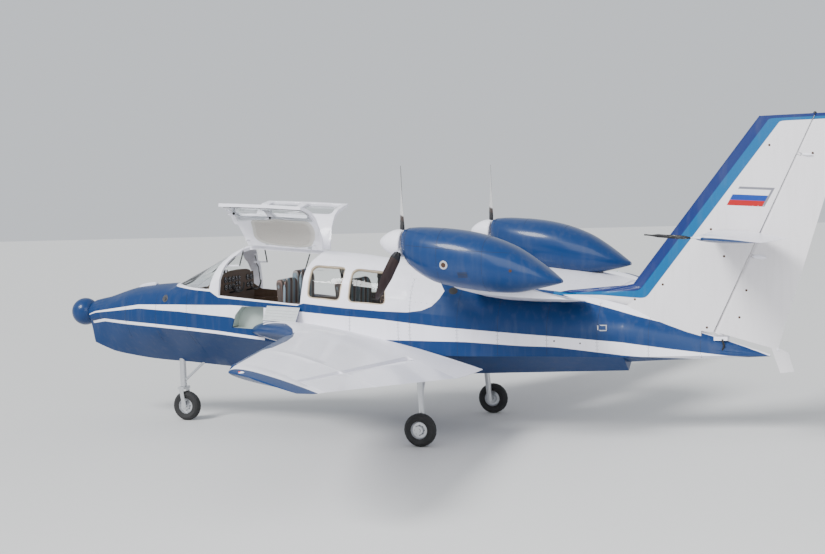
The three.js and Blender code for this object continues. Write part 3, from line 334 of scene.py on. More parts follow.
def makeGlass(name, colour):
    material, tree, shader = makeMaterial(name, glazing["roughness"])
    smear = addNoise(addNode(tree, "ShaderNodeTexCoord", {}, "Object"), *glazing["smear"])
    haze = maths("SUBTRACT", smear, glazing["smearFrom"], clamp=True) * glazing["smearStrength"]
    tree.links.new((haze + glazing["clearRoughness"]).socket, shader.inputs["Roughness"])
    shader.inputs["Base Color"].default_value = colour
    shader.inputs["Transmission Weight"].default_value = 1.0
    shader.inputs["IOR"].default_value = glazing["bending"]
    return material


tones = {
    "blue": (0.002, 0.031, 0.125, 1), "white": (0.90, 0.89, 0.96, 1), "darkBlue": (0.006, 0.022, 0.13, 1),
    "lightBlue": (0.001, 0.105, 0.27, 1), "finGrey": (0.80, 0.78, 0.80, 1), "brown": (0.085, 0.055, 0.04, 1),
    "lining": (0.60, 0.58, 0.54, 1), "cream": (0.56, 0.46, 0.33, 1), "black": (0.012, 0.012, 0.013, 1),
    "signRed": (0.42, 0.006, 0.008, 1), "signBlue": (0.006, 0.045, 0.28, 1),
    "signShade": (0.2, 0.2, 0.23, 1), "bladeBrown": (0.035, 0.02, 0.016, 1),
    "bladePale": (0.62, 0.61, 0.60, 1), "locker": (0.42, 0.48, 0.45, 1),
    "silver": (0.62, 0.63, 0.65, 1), "rust": (0.055, 0.024, 0.012, 1), "lidGrey": (0.50, 0.53, 0.53, 1),
}

# Edges of the painted areas along the hull, as station and height
paintLines = {
    "longLow": [(0, 3), (0.32, 3), (0.33, 0.49), (0.48, 0.53), (1.35, 0.61), (2.06, 0.58), (2.91, 0.51),
                (3.4, 0.30), (5.2, 0.225), (6.1, 0.198), (6.78, 0.145), (7.19, 0.128), (8.0, 0.022),
                (9.3, -0.09), (11, -0.3)],
    "longHigh": [(0, 0.5), (0.33, 0.50), (0.48, 0.55), (1.34, 0.66), (2.05, 0.67), (2.9, 0.668),
                 (3.4, 0.635), (4.01, 0.574), (4.51, 0.528), (5.01, 0.486), (5.79, 0.385), (6.78, 0.291),
                 (7.19, 0.256), (8.0, 0.174), (8.55, 0.092), (9.13, 0.018), (11, -0.2)],
    "chineLow": [(0, 3), (0.36, 3), (0.37, 0.372), (0.64, 0.412), (1.11, 0.388), (1.66, 0.364), (2.25, 0.33),
                 (2.72, 0.29), (3.4, 0.215), (3.45, 3), (11, 3)],
    "chineHigh": [(0, 0.4), (0.37, 0.405), (0.64, 0.45), (1.11, 0.43), (1.66, 0.405), (2.25, 0.37),
                  (2.72, 0.33), (3.4, 0.25), (11, 0.2)],
    "cabinLow": [(0, 3), (1.75, 3), (1.80, 0.915), (2.25, 0.87), (2.58, 0.845), (2.70, 0.768), (3.88, 0.658),
                 (3.93, 0.690), (4.51, 0.628), (5.01, 0.586), (5.36, 0.569), (5.55, 0.588), (5.68, 0.641),
                 (5.80, 0.780), (5.84, 3), (11, 3)],
    "cabinHigh": [(0, 3.5), (5.36, 3.5), (5.42, 1.22), (5.73, 0.90), (5.81, 0.795), (5.9, -1), (11, -1)],
    "aftLow": [(0, 3), (6.84, 3), (6.90, 0.84), (7.28, 0.714), (7.69, 0.605), (8.14, 0.477), (8.65, 0.343),
               (9.13, 0.20), (9.46, 0.087), (9.69, 0.0), (11, -0.4)],
    "aftHigh": [(0, 3.9), (11, 3.9)],
}

# The bands along the fin's front edge and over its root: line of the front edge, of the ridge, and widths
finBands = {
    "leadStation": 8.080, "leadRise": 0.796, "leadHeight": 0.850, "bandWidth": 0.15, "hullFrom": 7.1,
    "ridge": [(0, 0.765), (7.16, 0.765), (7.67, 0.812), (8.15, 0.862), (8.40, 0.900), (11, 1.29)],
    "taper": [(0, 0.008), (7.10, 0.012), (7.7, 0.045), (8.3, 0.10), (11, 0.10)],
    "topWidth": 0.035, "blendWidth": 0.7, "deepest": 9.0, "edge": 0.05,
}


def ridgeDepth(s, z):
    return (line(s, finBands["ridge"]) - z) / line(s, finBands["taper"])


def finDepth(s, z):
    lead = (z - finBands["leadHeight"]) * finBands["leadRise"] + finBands["leadStation"]
    behind = (s - lead) / finBands["bandWidth"]
    below = (plane["finTop"] - z) / finBands["topWidth"]
    either = maths("SMOOTH_MAX", behind, ridgeDepth(s, z), finBands["blendWidth"])
    return maths("SMOOTH_MIN", maths("MINIMUM", either, finBands["deepest"]), below, finBands["blendWidth"])


# Where the hull shows its inside: the cabin's well and the open locker on the side
cabinWell = {
    "stations": (2.322, 5.302), "halfWidth": 0.598, "floor": 0.1465, "levelTop": 0.70, "wallTop": 0.90,
    "level": 0.5, "wall": 0.93, "inward": -0.02, "soft": 0.02, "edge": 0.002,
}
lockerBay = {
    "stations": (2.915, 3.383), "innerY": 0.487, "outerY": 0.6365, "heights": (0.35, 0.652), "edge": 0.002,
}


def hullColour(tree):
    s, y, z = readPlace(tree)
    ahead, out, up = readFacing(tree)
    white = most(*[band(s, z, name) for name in ("long", "chine", "cabin", "aft")])
    coloured = mix(white, tones["blue"], tones["white"])
    light = step(s, finBands["hullFrom"]) * step(2.0, ridgeDepth(s, z), finBands["edge"])
    coloured = mix(light, coloured, tones["lightBlue"])
    level = step(up, cabinWell["level"]) * step(cabinWell["levelTop"], z)
    wall = step(maths("ABSOLUTE", ahead), cabinWell["wall"]) * step(cabinWell["wallTop"], z)
    facing = most(level, wall, step(cabinWell["inward"], out, cabinWell["soft"]))
    well = step(cabinWell["halfWidth"], y) * step(z, cabinWell["floor"], cabinWell["edge"]) * facing
    coloured = mix(within(s, *cabinWell["stations"]) * well, coloured, tones["brown"])
    bay = within(s, *lockerBay["stations"]) * step(y, lockerBay["innerY"])
    bay = bay * step(lockerBay["outerY"], y, lockerBay["edge"]) * within(z, *lockerBay["heights"])
    return mix(bay, coloured, tones["locker"])


shell = {"middleZ": 0.75, "archEnd": 3.9, "wainscot": 0.98, "soft": 0.02, "inward": -0.02}


def shellColour(tree):
    s, y, z = readPlace(tree)
    out, up = readFacing(tree)[1:]
    outer = mix(band(s, z, "cabin"), tones["blue"], tones["white"])
    low = step(shell["wainscot"], z, shell["soft"]) * step(s, shell["archEnd"])
    inner = mix(step(shell["archEnd"], s), mix(low, tones["lining"], tones["brown"]), tones["white"])
    outward = out * y + up * (z - shell["middleZ"])
    return mix(step(shell["inward"], outward, shell["soft"]), outer, inner)


lidTop = {"facing": 0.35, "edge": 0.02}


def lidColour(tree):
    top = step(readFacing(tree)[2], lidTop["facing"], lidTop["edge"])
    return mix(top, tones["darkBlue"], tones["lidGrey"])


# Upright stripes of the seat cloth: from and to as shares of one repeat, and the tone
stripes = {
    "repeat": 0.14, "lowestZ": 0.36, "lowestEdge": 0.01, "edge": 0.08, "ground": (0.07, 0.055, 0.05, 1),
    "rows": [(0.0, 0.42, (0.17, 0.22, 0.26, 1)), (0.42, 0.56, (0.33, 0.31, 0.30, 1)),
             (0.80, 0.92, (0.20, 0.13, 0.11, 1))],
}


def stripeColour(tree):
    share = maths("FRACT", readPlace(tree)[1] / stripes["repeat"])
    coloured = stripes["ground"]
    for low, high, tone in stripes["rows"]:
        coloured = mix(within(share, low, high, stripes["edge"]), coloured, tone)
    return coloured


def seatShellColour(tree):
    high = step(readPlace(tree)[2], stripes["lowestZ"], stripes["lowestEdge"])
    return mix(high, tones["brown"], stripeColour(tree))


# The striped sign on the fin, with a thin shade line along its top and rear edges
sign = {
    "frontStation": 9.235, "length": 0.405, "lowest": 1.771, "height": 0.195, "lean": 0.56, "border": 0.028,
    "slope": 0.0735, "edge": 0.02, "stripes": ("signRed", "signBlue", "finGrey"),
}


def finColour(tree):
    s, z = readPlace(tree)[::2]
    depth = finDepth(s, z)
    coloured = mix(step(2.0, depth, finBands["edge"]), tones["finGrey"], tones["lightBlue"])
    coloured = mix(step(1.0, depth, finBands["edge"]), coloured, tones["darkBlue"])
    back = s - sign["frontStation"]
    up = (z + back * sign["slope"] - sign["lowest"]) / sign["height"]
    along = (back - up * (sign["height"] * sign["lean"])) / sign["length"]
    rear, top = sign["border"] / sign["length"], sign["border"] / sign["height"]
    shade = within(along, rear, 1 + rear, sign["edge"]) * within(up, 0.0, 1 + top, sign["edge"])
    coloured = mix(shade, coloured, tones["signShade"])
    count = len(sign["stripes"])
    for k, colour in enumerate(sign["stripes"]):
        stripe = within(along, 0.0, 1.0, sign["edge"]) * within(up, k / count, (k + 1) / count, sign["edge"])
        coloured = mix(stripe, coloured, tones[colour])
    return coloured


# On the wing the blue reaches from the front edge to a line across the root, and covers the tip
wingPaint = {
    "rootLine": [(0, 3.49), (0.60, 3.46), (0.895, 3.49), (0.976, 3.72), (1.18, 3.97), (1.363, 4.11),
                 (1.60, 4.29), (2.20, 4.63), (2.935, 4.99), (3.522, 5.22), (4.30, 5.46), (4.60, 5.40),
                 (4.66, 3.0), (11, 3.0)],
    "tipLine": [(0, 11), (6.00, 11), (6.05, 7.2), (6.20, 6.35), (6.26, 6.0), (11, 3)], "edge": 0.006,
}


def wingColour(tree):
    s, y = readPlace(tree)[:2]
    ahead = step(line(y, wingPaint["rootLine"]), s, wingPaint["edge"])
    tip = step(s, line(y, wingPaint["tipLine"]), wingPaint["edge"])
    return mix(most(ahead, tip), tones["white"], tones["blue"])


tailPaint = {
    "station": 9.24, "chordZ": 1.466, "slope": 0.0857, "tipY": 1.70, "endY": 1.92, "rodStation": 9.2,
}


def tailplaneColour(tree):
    s, y, z = readPlace(tree)
    chord = tailPaint["chordZ"] - (s - tailPaint["station"]) * tailPaint["slope"]
    outer = step(y, tailPaint["tipY"])
    coloured = mix(most(step(chord, z) * outer, step(y, tailPaint["endY"])), tones["white"], tones["blue"])
    return mix(step(tailPaint["rodStation"], s) * outer, coloured, tones["black"])


thrust = {
    "station": 5.745, "y": 1.530, "z": 1.467, "slope": 0.09,
    "spinner": (0.168, 0.001), "cuffEnd": 0.275, "pale": (0.34, 0.02), "paleFacing": (0.12, 0.05),
}


def propellerColour(tree):
    s, y, z = readPlace(tree)
    rise = z - ((thrust["station"] - s) * thrust["slope"] + thrust["z"])
    out = y - thrust["y"]
    radius = maths("SQRT", rise * rise + out * out)
    blade = mix(step(radius, thrust["cuffEnd"]), tones["black"], tones["bladeBrown"])
    pale = step(readFacing(tree)[0], *thrust["paleFacing"]) * step(radius, *thrust["pale"])
    blade = mix(pale, blade, tones["bladePale"])
    return mix(step(radius, *thrust["spinner"]), tones["white"], blade)


paints = {
    "hull": makePaint("hullPaint", hullColour, 0.34, 0.3, 0.01, 0.06),
    "shell": makePaint("shellPaint", shellColour),
    "fin": makePaint("finPaint", finColour, 0.34, 0.3, 0.05, 0.08),
    "wing": makePaint("wingPaint", wingColour, 0.30, 0.25, 0.03, 0.12),
    "tailplane": makePaint("tailplanePaint", tailplaneColour, 0.3, 0.25, 0.1, 0.3),
    "blue": makePaint("bluePaint", tones["blue"], 0.26, 0.25, 0.04, 0.22),
    "white": makePaint("whitePaint", tones["white"], 0.28, 0.3, 0.1, 0.35),
    "propeller": makePaint("propellerPaint", propellerColour, 0.3, 0.2, 0.1, 0.3),
    "glass": makeGlass("clearGlass", (0.93, 0.96, 0.95, 1)),
    "lining": makeGrained("liningCloth", tones["lining"], 0.75, scale=90.0),
    "liningDeep": makeGrained("liningInset", (0.52, 0.49, 0.45, 1), 0.7, scale=90.0),
    "brown": makeGrained("brownTrim", tones["brown"], 0.7, scale=60.0),
    "cream": makeGrained("creamTrim", tones["cream"], 0.55, scale=30.0),
    "black": makeGrained("blackTrim", tones["black"], 0.45, scale=50.0),
    "silver": makeGrained("bareMetal", tones["silver"], 0.32, 0.9, scale=80.0, contrast=0.2, depth=0.08),
    "steel": makeGrained("darkSteel", (0.10, 0.10, 0.11, 1), 0.42, 0.7, scale=80.0),
    "rubber": makeGrained("tyreRubber", (0.022, 0.022, 0.023, 1), 0.82, scale=25.0),
    "rust": makeGrained("rustSpot", tones["rust"], 0.8, scale=120.0),
    "lid": makeGrained("ribbedSheet", lidColour, 0.45, 0.2, scale=20.0),
    "seatStripe": makeGrained("stripedSeatCloth", stripeColour, 0.9, scale=160.0, contrast=0.3, depth=0.35),
    "benchCloth": makeGrained("brownSeatCloth", (0.10, 0.06, 0.045, 1), 0.9, scale=160.0, depth=0.35),
    "seatPiping": makeGrained("darkPiping", (0.03, 0.025, 0.022, 1), 0.7, scale=120.0),
    "seam": makeGrained("seamShade", (0.012, 0.014, 0.02, 1), 0.8, scale=120.0),
    "dialBlack": makeGrained("dialBlack", (0.010, 0.010, 0.010, 1), 0.85, scale=60.0),
    "seatShell": makeGrained("coveredSeat", seatShellColour, 0.85, scale=160.0, contrast=0.3, depth=0.3),
    "lampRed": makeGlass("redLens", (0.85, 0.03, 0.03, 1)),
    "lampGreen": makeGlass("greenLens", (0.03, 0.6, 0.2, 1)),
}
makeCamera()
makeStage()
print("camera, stage and paints made")


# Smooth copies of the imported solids: each level bends every flat triangle to its corner normals
rounding = {
    "sharpDegrees": 34, "fullness": 0.5, "mostBend": 0.014, "shortEdge": 0.7, "longEdge": 1.1,
    "mergeDistance": 2e-5, "tiny": 1e-9, "alike": 1e-3,
}


def readAll(collection, attribute, width=3, kind=float):
    values = np.empty(len(collection) * width, dtype=kind)
    collection.foreach_get(attribute, values)
    return values.reshape(-1, width)


def readSolid(node):
    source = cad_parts[node].data
    source.calc_loop_triangles()
    points = readAll(source.vertices, "co")
    corners = readAll(source.loop_triangles, "vertices", 3, np.int64)
    keys = np.round(points / rounding["mergeDistance"]).astype(np.int64)
    first, place = np.unique(keys, axis=0, return_index=True, return_inverse=True)[1:]
    triangles = place.reshape(-1)[corners]
    a, b, c = triangles.T
    return points[first], triangles[(a != b) & (b != c) & (a != c)]


def makeMesh(name, points, faces, soft=None):
    mesh = bpy.data.meshes.new(name)
    mesh.from_pydata(np.asarray(points).tolist(), [], [list(map(int, face)) for face in faces])
    mesh.shade_smooth()
    mesh.set_sharp_from_angle(angle=math.radians(rounding["sharpDegrees"]))
    if soft is not None:
        ends = readAll(mesh.edges, "vertices", 2, np.int64)
        middles = readAll(mesh.vertices, "co")[ends].mean(axis=1)
        station, z = plane["noseX"] - middles[:, 0], middles[:, 2] - plane["floatLine"]
        isSoft = soft(station, np.abs(middles[:, 1]), z)
        sharp = mesh.attributes.get("sharp_edge")
        if sharp is not None:
            values = readAll(sharp.data, "value", 1, bool)[:, 0]
            sharp.data.foreach_set("value", values & ~isSoft)
    return mesh


def bendOnce(points, triangles, soft):
    work = makeMesh("work", points, triangles, soft)
    normals = readAll(work.corner_normals, "vector").reshape(-1, 3, 3)
    bpy.data.meshes.remove(work)
    starts, endNormals = points[triangles], np.roll(normals, -1, axis=1)
    half = (np.roll(starts, -1, axis=1) - starts) / 2
    rise = np.einsum("ijk,ijk->ij", half, normals)[..., None] * normals
    fall = np.einsum("ijk,ijk->ij", -half, endNormals)[..., None] * endNormals
    bend = -(rise + fall) / 2 * rounding["fullness"]
    size = np.linalg.norm(bend, axis=2, keepdims=True)
    length = np.linalg.norm(half, axis=2, keepdims=True) * 2
    share = (rounding["longEdge"] - length) / (rounding["longEdge"] - rounding["shortEdge"])
    bend *= np.minimum(1, rounding["mostBend"] / np.maximum(size, rounding["tiny"])) * np.clip(share, 0, 1)
    pairs = np.stack([triangles, np.roll(triangles, -1, axis=1)], axis=2).reshape(-1, 2)
    pairs.sort(axis=1)
    edges, edgeOf = np.unique(pairs, axis=0, return_inverse=True)
    edgeOf = edgeOf.reshape(-1)
    total = np.zeros((len(edges), 3))
    np.add.at(total, edgeOf, bend.reshape(-1, 3))
    uses = np.bincount(edgeOf, minlength=len(edges))
    first = np.full(len(edges), -1)
    first[edgeOf[::-1]] = np.arange(len(edgeOf))[::-1]
    last = np.zeros(len(edges), dtype=np.int64)
    last[edgeOf] = np.arange(len(edgeOf))
    startOf, endOf = normals.reshape(-1, 3), endNormals.reshape(-1, 3)
    sameEnd = np.linalg.norm(startOf[first] - endOf[last], axis=1) < rounding["alike"]
    sameStart = np.linalg.norm(endOf[first] - startOf[last], axis=1) < rounding["alike"]
    weight = np.where(sameEnd & sameStart, 1 / np.maximum(uses, 1), 1.0)
    middles = points[edges].mean(axis=1) + total * weight[:, None]
    newPoints = np.vstack([points, middles])
    middle = edgeOf.reshape(-1, 3) + len(points)
    a, b, c = triangles[:, 0], triangles[:, 1], triangles[:, 2]
    ab, bc, ca = middle[:, 0], middle[:, 1], middle[:, 2]
    split = np.vstack([np.stack(t, axis=1) for t in ((a, ab, ca), (ab, b, bc), (ca, bc, c), (ab, bc, ca))])
    return newPoints, split


def dress(node, body, material, levels=2, soft=None):
    points, triangles = readSolid(node)
    for level in range(levels):
        points, triangles = bendOnce(points, triangles, soft)
    mesh = makeMesh(node + "Skin", points, triangles, soft)
    return placePiece(node + "Skin", mesh, body, material, node)


def placePiece(name, mesh, body, material, replaced=None):
    piece = newObject(name, mesh)
    if not mesh.materials:
        mesh.materials.append(material)
    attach(piece, body)
    if replaced is not None:
        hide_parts(replaced)
    return piece


# Edges that stay soft: the fin's and the tailplane's front, and the top of the bow
softEdges = {"finWidth": 0.12, "finTopWidth": 0.01, "tail": (9.0, 9.36), "bowEnd": 0.45, "bowZ": 0.42}


def finLead(z):
    return finBands["leadStation"] + finBands["leadRise"] * (z - finBands["leadHeight"])


def softFin(station, y, z):
    return (station < finLead(z) + softEdges["finWidth"]) & (z < plane["finTop"] - softEdges["finTopWidth"])


def softTail(station, y, z):
    return (station < softEdges["tail"][1]) & (station > softEdges["tail"][0])


def softHull(station, y, z):
    return (station < softEdges["bowEnd"]) & (z > softEdges["bowZ"])


skins = [
    ("bow_hull", "root", "hull", 2, softHull), ("cabin_tub", "root", "hull", 2, None),
    ("aft_hull", "root", "hull", 2, None), ("cabin_shell", "root", "shell", 2, None),
    ("windscreen_arch", "root", "shell", 2, None), ("windscreen", "root", "glass", 2, None),
    ("fin", "root", "fin", 2, softFin), ("rudder", "rudder", "fin", 1, None),
    ("tailplane", "tailplane", "tailplane", 2, softTail), ("nose_bumper", "root", "blue", 2, None),
    ("deck_fairing", "root", "white", 1, None), ("instrument_panel", "root", "brown", 1, None),
    ("nose_fork", "nose_fork", "silver", 0, None), ("nose_leg", "root", "silver", 1, None),
]
for side in sides:
    skins += [
        (f"slat_{side}", "root", "blue", 0, None),
        (f"nacelle_{side}", "root", "blue", 2, None), (f"pylon_{side}", "root", "white", 2, None),
        (f"propeller_{side}", f"propeller_{side}", "propeller", 2, None),
        (f"cabin_door_{side}", f"door_{side}", "white", 2, None),
        (f"door_glass_{side}", f"door_{side}", "glass", 2, None),
        (f"side_glass_{side}", "root", "glass", 2, None),
        (f"main_leg_{side}", "root", "silver", 1, None),
        (f"mooring_bollard_{side}", "root", "steel", 1, None),
    ]
for node, body, paint, levels, soft in skins:
    dress(node, body, paints[paint], levels, soft)
print("skins made")

# Solids that take a finish without a skin
plain = {"locker_lid": "lid", "nose_tyre": "rubber", "nose_rim": "silver", "rear_bench": "brown"}
for side in sides:
    plain.update({
        f"engine_{side}": "steel", f"main_tyre_{side}": "rubber", f"main_rim_{side}": "silver",
        f"front_seat_{side}": "brown", f"middle_seat_{side}": "brown",
    })
    for end in ("front", "rear"):
        plain[f"{end}_strut_cylinder_{side}"] = "black"
        plain[f"{end}_strut_rod_{side}"] = "silver"
for node, paint in plain.items():
    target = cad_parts[node]
    if not target.material_slots:
        target.data.materials.append(paints[paint])
    for slot in target.material_slots:
        slot.material = paints[paint]


# Simple closed forms, gathered before they become one mesh
def newForm():
    return {"points": [], "faces": []}


def addForm(form, points, faces):
    start = len(form["points"])
    form["points"] += [Vector(p) for p in points]
    form["faces"] += [tuple(start + i for i in face) for face in faces]


def addRings(form, rings, closed=False):
    count, total = len(rings[0]), len(rings)
    faces = []
    for r in range(total if closed else total - 1):
        here, there = r * count, (r + 1) % total * count
        for i in range(count):
            after = (i + 1) % count
            faces.append((here + i, here + after, there + after, there + i))
    if not closed:
        faces += [tuple(reversed(range(count))), tuple(range((total - 1) * count, total * count))]
    addForm(form, [p for ring in rings for p in ring], faces)


def ringForm(rings, closed=False):
    form = newForm()
    addRings(form, rings, closed)
    return form


def turns(count):
    return [2 * math.pi * k / count for k in range(count)]


def bulge(value, power):
    return math.copysign(abs(value) ** power, value)


def circle(centre, across, lift, radius, count):
    return [centre + across * radius * math.cos(t) + lift * radius * math.sin(t) for t in turns(count)]


def addTube(form, path, radius, count=10):
    rings = []
    across = None
    for i, point in enumerate(path):
        ahead = Vector(path[min(i + 1, len(path) - 1)]) - Vector(path[max(i - 1, 0)])
        ahead.normalize()
        if across is None:
            across = ahead.orthogonal().normalized()
        across = (across - ahead * across.dot(ahead)).normalized()
        size = radius[i] if isinstance(radius, (list, tuple)) else radius
        rings.append(circle(Vector(point), across, ahead.cross(across), size, count))
    addRings(form, rings)


strip = {"sink": 0.001, "topShare": 0.8}


def addStrip(form, spots, width, height):
    if len(spots) < 2:
        return
    rings = []
    for i, (point, normal) in enumerate(spots):
        ahead = (spots[min(i + 1, len(spots) - 1)][0] - spots[max(i - 1, 0)][0]).normalized()
        across = ahead.cross(normal).normalized() * width / 2
        base, top = point - normal * strip["sink"], point + normal * height
        narrow = across * strip["topShare"]
        rings.append([base - across, base + across, top + narrow, top - narrow])
    addRings(form, rings)


def addBlock(form, centre, size, turn=Matrix.Identity(3)):
    half = Vector(size) / 2
    points = [Vector(centre) + turn @ Vector((x * half.x, y * half.y, z * half.z))
              for x in (-1, 1) for y in (-1, 1) for z in (-1, 1)]
    faces = [(0, 1, 3, 2), (4, 6, 7, 5), (0, 4, 5, 1), (2, 3, 7, 6), (0, 2, 6, 4), (1, 5, 7, 3)]
    addForm(form, points, faces)


ball = {"rings": 8, "corners": 14, "poleShare": 0.03, "turnShare": 0.94}


def addBall(form, centre, size):
    steps = ball["rings"]
    arc = [math.pi * (ball["poleShare"] + ball["turnShare"] * i / steps) for i in range(steps + 1)]
    path = [Vector(centre) + Vector((0, 0, math.cos(turn) * size)) for turn in arc]
    addTube(form, path, [math.sin(turn) * size for turn in arc], ball["corners"])


disc = {"sink": 0.002, "edgeShare": 0.7, "topShare": 0.94}


def addDisc(form, centre, normal, radius, height, count=28):
    normal = Vector(normal).normalized()
    path = [centre + normal * lift for lift in (-disc["sink"], height * disc["edgeShare"], height)]
    addTube(form, path, [radius, radius, radius * disc["topShare"]], count)


def mirrored(form):
    return {
        "points": [Vector((p.x, -p.y, p.z)) for p in form["points"]],
        "faces": [tuple(reversed(face)) for face in form["faces"]],
    }


def moved(form, matrix):
    return {"points": [matrix @ p for p in form["points"]], "faces": list(form["faces"])}


def joined(*forms):
    whole = newForm()
    for form in forms:
        addForm(whole, form["points"], form["faces"])
    return whole


def placeForm(name, form, body, paint, replaced=None, smooth=True):
    mesh = meshFrom(name, form["points"], form["faces"])
    fixer = bmesh.new()
    fixer.from_mesh(mesh)
    bmesh.ops.recalc_face_normals(fixer, faces=fixer.faces)
    fixer.to_mesh(mesh)
    fixer.free()
    if smooth:
        mesh.shade_smooth()
        mesh.set_sharp_from_angle(angle=math.radians(rounding["sharpDegrees"]))
    return placePiece(name, mesh, body, paints[paint], replaced)


def placeBoth(name, form, paint):
    placeForm(name, joined(form, mirrored(form)), "root", paint)


def placeBall(name, place, size, paint):
    form = newForm()
    addBall(form, at(*place), size)
    placeForm(name, form, "root", paint)


# Spots on a surface are pairs of a point and the way it faces; rays from the side start this far out
outside = 3.0


def castRay(surface, start, direction):
    return surface.ray_cast(start, Vector(direction))[:2]


def onSide(surface, station, z):
    return castRay(surface, at(station, outside, z), (0, -1, 0))


def gather(spots):
    return [(hit, normal) for hit, normal in spots if hit is not None]


def outermost(surfaces, station, z):
    found = gather(onSide(surface, station, z) for surface in surfaces)
    return max(found, key=lambda spot: spot[0].y, default=(None, None))


# columns of the rows: station, height, radius and thickness
def addDiscs(form, surfaces, rows, count=28):
    for station, z, radius, height in rows:
        for hit, normal in gather([outermost(surfaces, station, z)]):
            addDisc(form, hit, normal, radius, height, count)


# Wing, flap and aileron skins on a regular net, so that light runs evenly over them
# columns: distance to port, front and rear each as station and height, depth over and under the chord
wingSections = [
    (0.200, 3.180, 0.330, 6.320, -0.130, 0.225, 0.080), (0.700, 3.230, 0.333, 6.345, -0.130, 0.225, 0.085),
    (0.900, 3.420, 0.350, 6.365, -0.125, 0.225, 0.095), (1.300, 3.900, 0.380, 6.405, -0.108, 0.212, 0.100),
    (1.750, 4.370, 0.385, 6.450, -0.080, 0.190, 0.090), (5.900, 5.920, 0.560, 6.850, 0.370, 0.085, 0.040),
    (6.200, 6.045, 0.573, 6.870, 0.400, 0.062, 0.030), (6.360, 6.330, 0.560, 6.790, 0.425, 0.008, 0.008),
]
wingNet = {
    "rootY": 0.60, "tipY": 6.36, "hinge": 0.75, "gap": 0.008, "steps": 30, "spanStep": 0.22,
    "flap": (1.800, 4.560), "aileron": (4.640, 5.960), "slat": (2.285, 5.615), "slatDepth": 0.065,
    "slatShare": 0.085, "sliver": 0.0005, "surfaceSteps": 8, "noseSteps": 9,
}
foil = (2.969, -1.26, -3.516, 2.843, -1.015)


def wingValues(y):
    table = np.array(wingSections)
    return [float(np.interp(y, table[:, 0], table[:, k])) for k in range(1, 7)]


def foilDepth(f):
    return foil[0] * math.sqrt(f) + foil[1] * f + foil[2] * f ** 2 + foil[3] * f ** 3 + foil[4] * f ** 4


def wingSpot(y, f, side):
    leadS, leadZ, trailS, trailZ, above, below = wingValues(y)
    depth = foilDepth(max(f, 0)) * (above if side > 0 else -below)
    return at(leadS + f * (trailS - leadS), y, leadZ + f * (trailZ - leadZ) + depth)


def wingRing(y, front, rear):
    shares = [front + (rear - front) * (1 - math.cos(math.pi * i / wingNet["steps"])) / 2
              for i in range(wingNet["steps"] + 1)]
    upper = [wingSpot(y, f, 1) for f in reversed(shares)]
    lower = [wingSpot(y, f, -1) for f in shares[1:]]
    return upper + lower


def spanPlaces(low, high):
    knots = [row[0] for row in wingSections if low < row[0] < high]
    stops = [low] + knots + [high]
    places = []
    for a, b in zip(stops[:-1], stops[1:]):
        count = max(1, int((b - a) / wingNet["spanStep"]))
        places += [a + (b - a) * i / count for i in range(count)]
    return places + [high]


def wingChord(y):
    values = wingValues(y)
    return values[2] - values[0]


def hingeRadius(y):
    return (wingSpot(y, wingNet["hinge"], 1) - wingSpot(y, wingNet["hinge"], -1)).length / 2


def wingEnds(y):
    inSlat = wingNet["slat"][0] < y < wingNet["slat"][1]
    inSurface = any(low < y < high for low, high in (wingNet["flap"], wingNet["aileron"]))
    front = wingNet["slatShare"] - wingNet["slatDepth"] / wingChord(y) if inSlat else 0.0
    back = (hingeRadius(y) + wingNet["gap"]) / wingChord(y)
    return front, wingNet["hinge"] - back if inSurface else 1.0


def makeWingForm():
    inner = [y for name in ("flap", "aileron", "slat") for y in wingNet[name]]
    stops = sorted([wingNet["rootY"], *inner, wingNet["tipY"]])
    rings = []
    for low, high in zip(stops[:-1], stops[1:]):
        for y in spanPlaces(low, high):
            kept = min(max(y, low + wingNet["sliver"]), high - wingNet["sliver"])
            rings.append(wingRing(y if y == wingNet["tipY"] else kept, *wingEnds(kept)))
    return ringForm(rings)


def makeSurfaceForm(span):
    rings = []
    steps, hinge = wingNet["surfaceSteps"], wingNet["hinge"]
    for y in spanPlaces(span[0] + wingNet["gap"], span[1] - wingNet["gap"]):
        top, bottom = wingSpot(y, hinge, 1), wingSpot(y, hinge, -1)
        centre, radius = (top + bottom) / 2, (top - bottom).length / 2
        shares = [hinge + (1 - hinge) * i / steps for i in range(steps + 1)]
        upper = [wingSpot(y, f, 1) for f in reversed(shares)]
        nose = [centre + Vector((math.sin(t), 0, math.cos(t))) * radius
                for t in [math.pi * i / wingNet["noseSteps"] for i in range(1, wingNet["noseSteps"])]]
        rings.append(upper + nose + [wingSpot(y, f, -1) for f in shares[:-1]])
    return ringForm(rings)


wingForm = makeWingForm()
placeForm("wingPortSkin", wingForm, "root", "wing", "wing_port")
placeForm("wingStarboardSkin", mirrored(wingForm), "root", "wing", "wing_starboard")
for surface in ("flap", "aileron"):
    surfaceForm = makeSurfaceForm(wingNet[surface])
    for side, form in (("port", surfaceForm), ("starboard", mirrored(surfaceForm))):
        placeForm(f"{surface}Skin_{side}", form, f"{surface}_{side}", "white", f"{surface}_{side}")
print("wings made")

# The doors are drawn shut and then turned up about their hinge line
door = {
    "hingeFront": 2.96, "hingeRear": 3.96, "hingeY": 0.075, "openDegrees": 92,
    "ridgeStation": 2.990, "ridgeZ": 1.417, "ridgeSlope": 0.0854167,
}


def ridgeHeight(station):
    return door["ridgeZ"] - door["ridgeSlope"] * (station - door["ridgeStation"])


def doorTurn(degrees):
    front = at(door["hingeFront"], 0, ridgeHeight(door["hingeFront"]))
    rear = at(door["hingeRear"], 0, ridgeHeight(door["hingeRear"]))
    pivot = at(door["hingeRear"], door["hingeY"], ridgeHeight(door["hingeRear"]))
    spin = Matrix.Rotation(math.radians(degrees), 4, (front - rear).normalized())
    return Matrix.Translation(pivot) @ spin @ Matrix.Translation(-pivot)


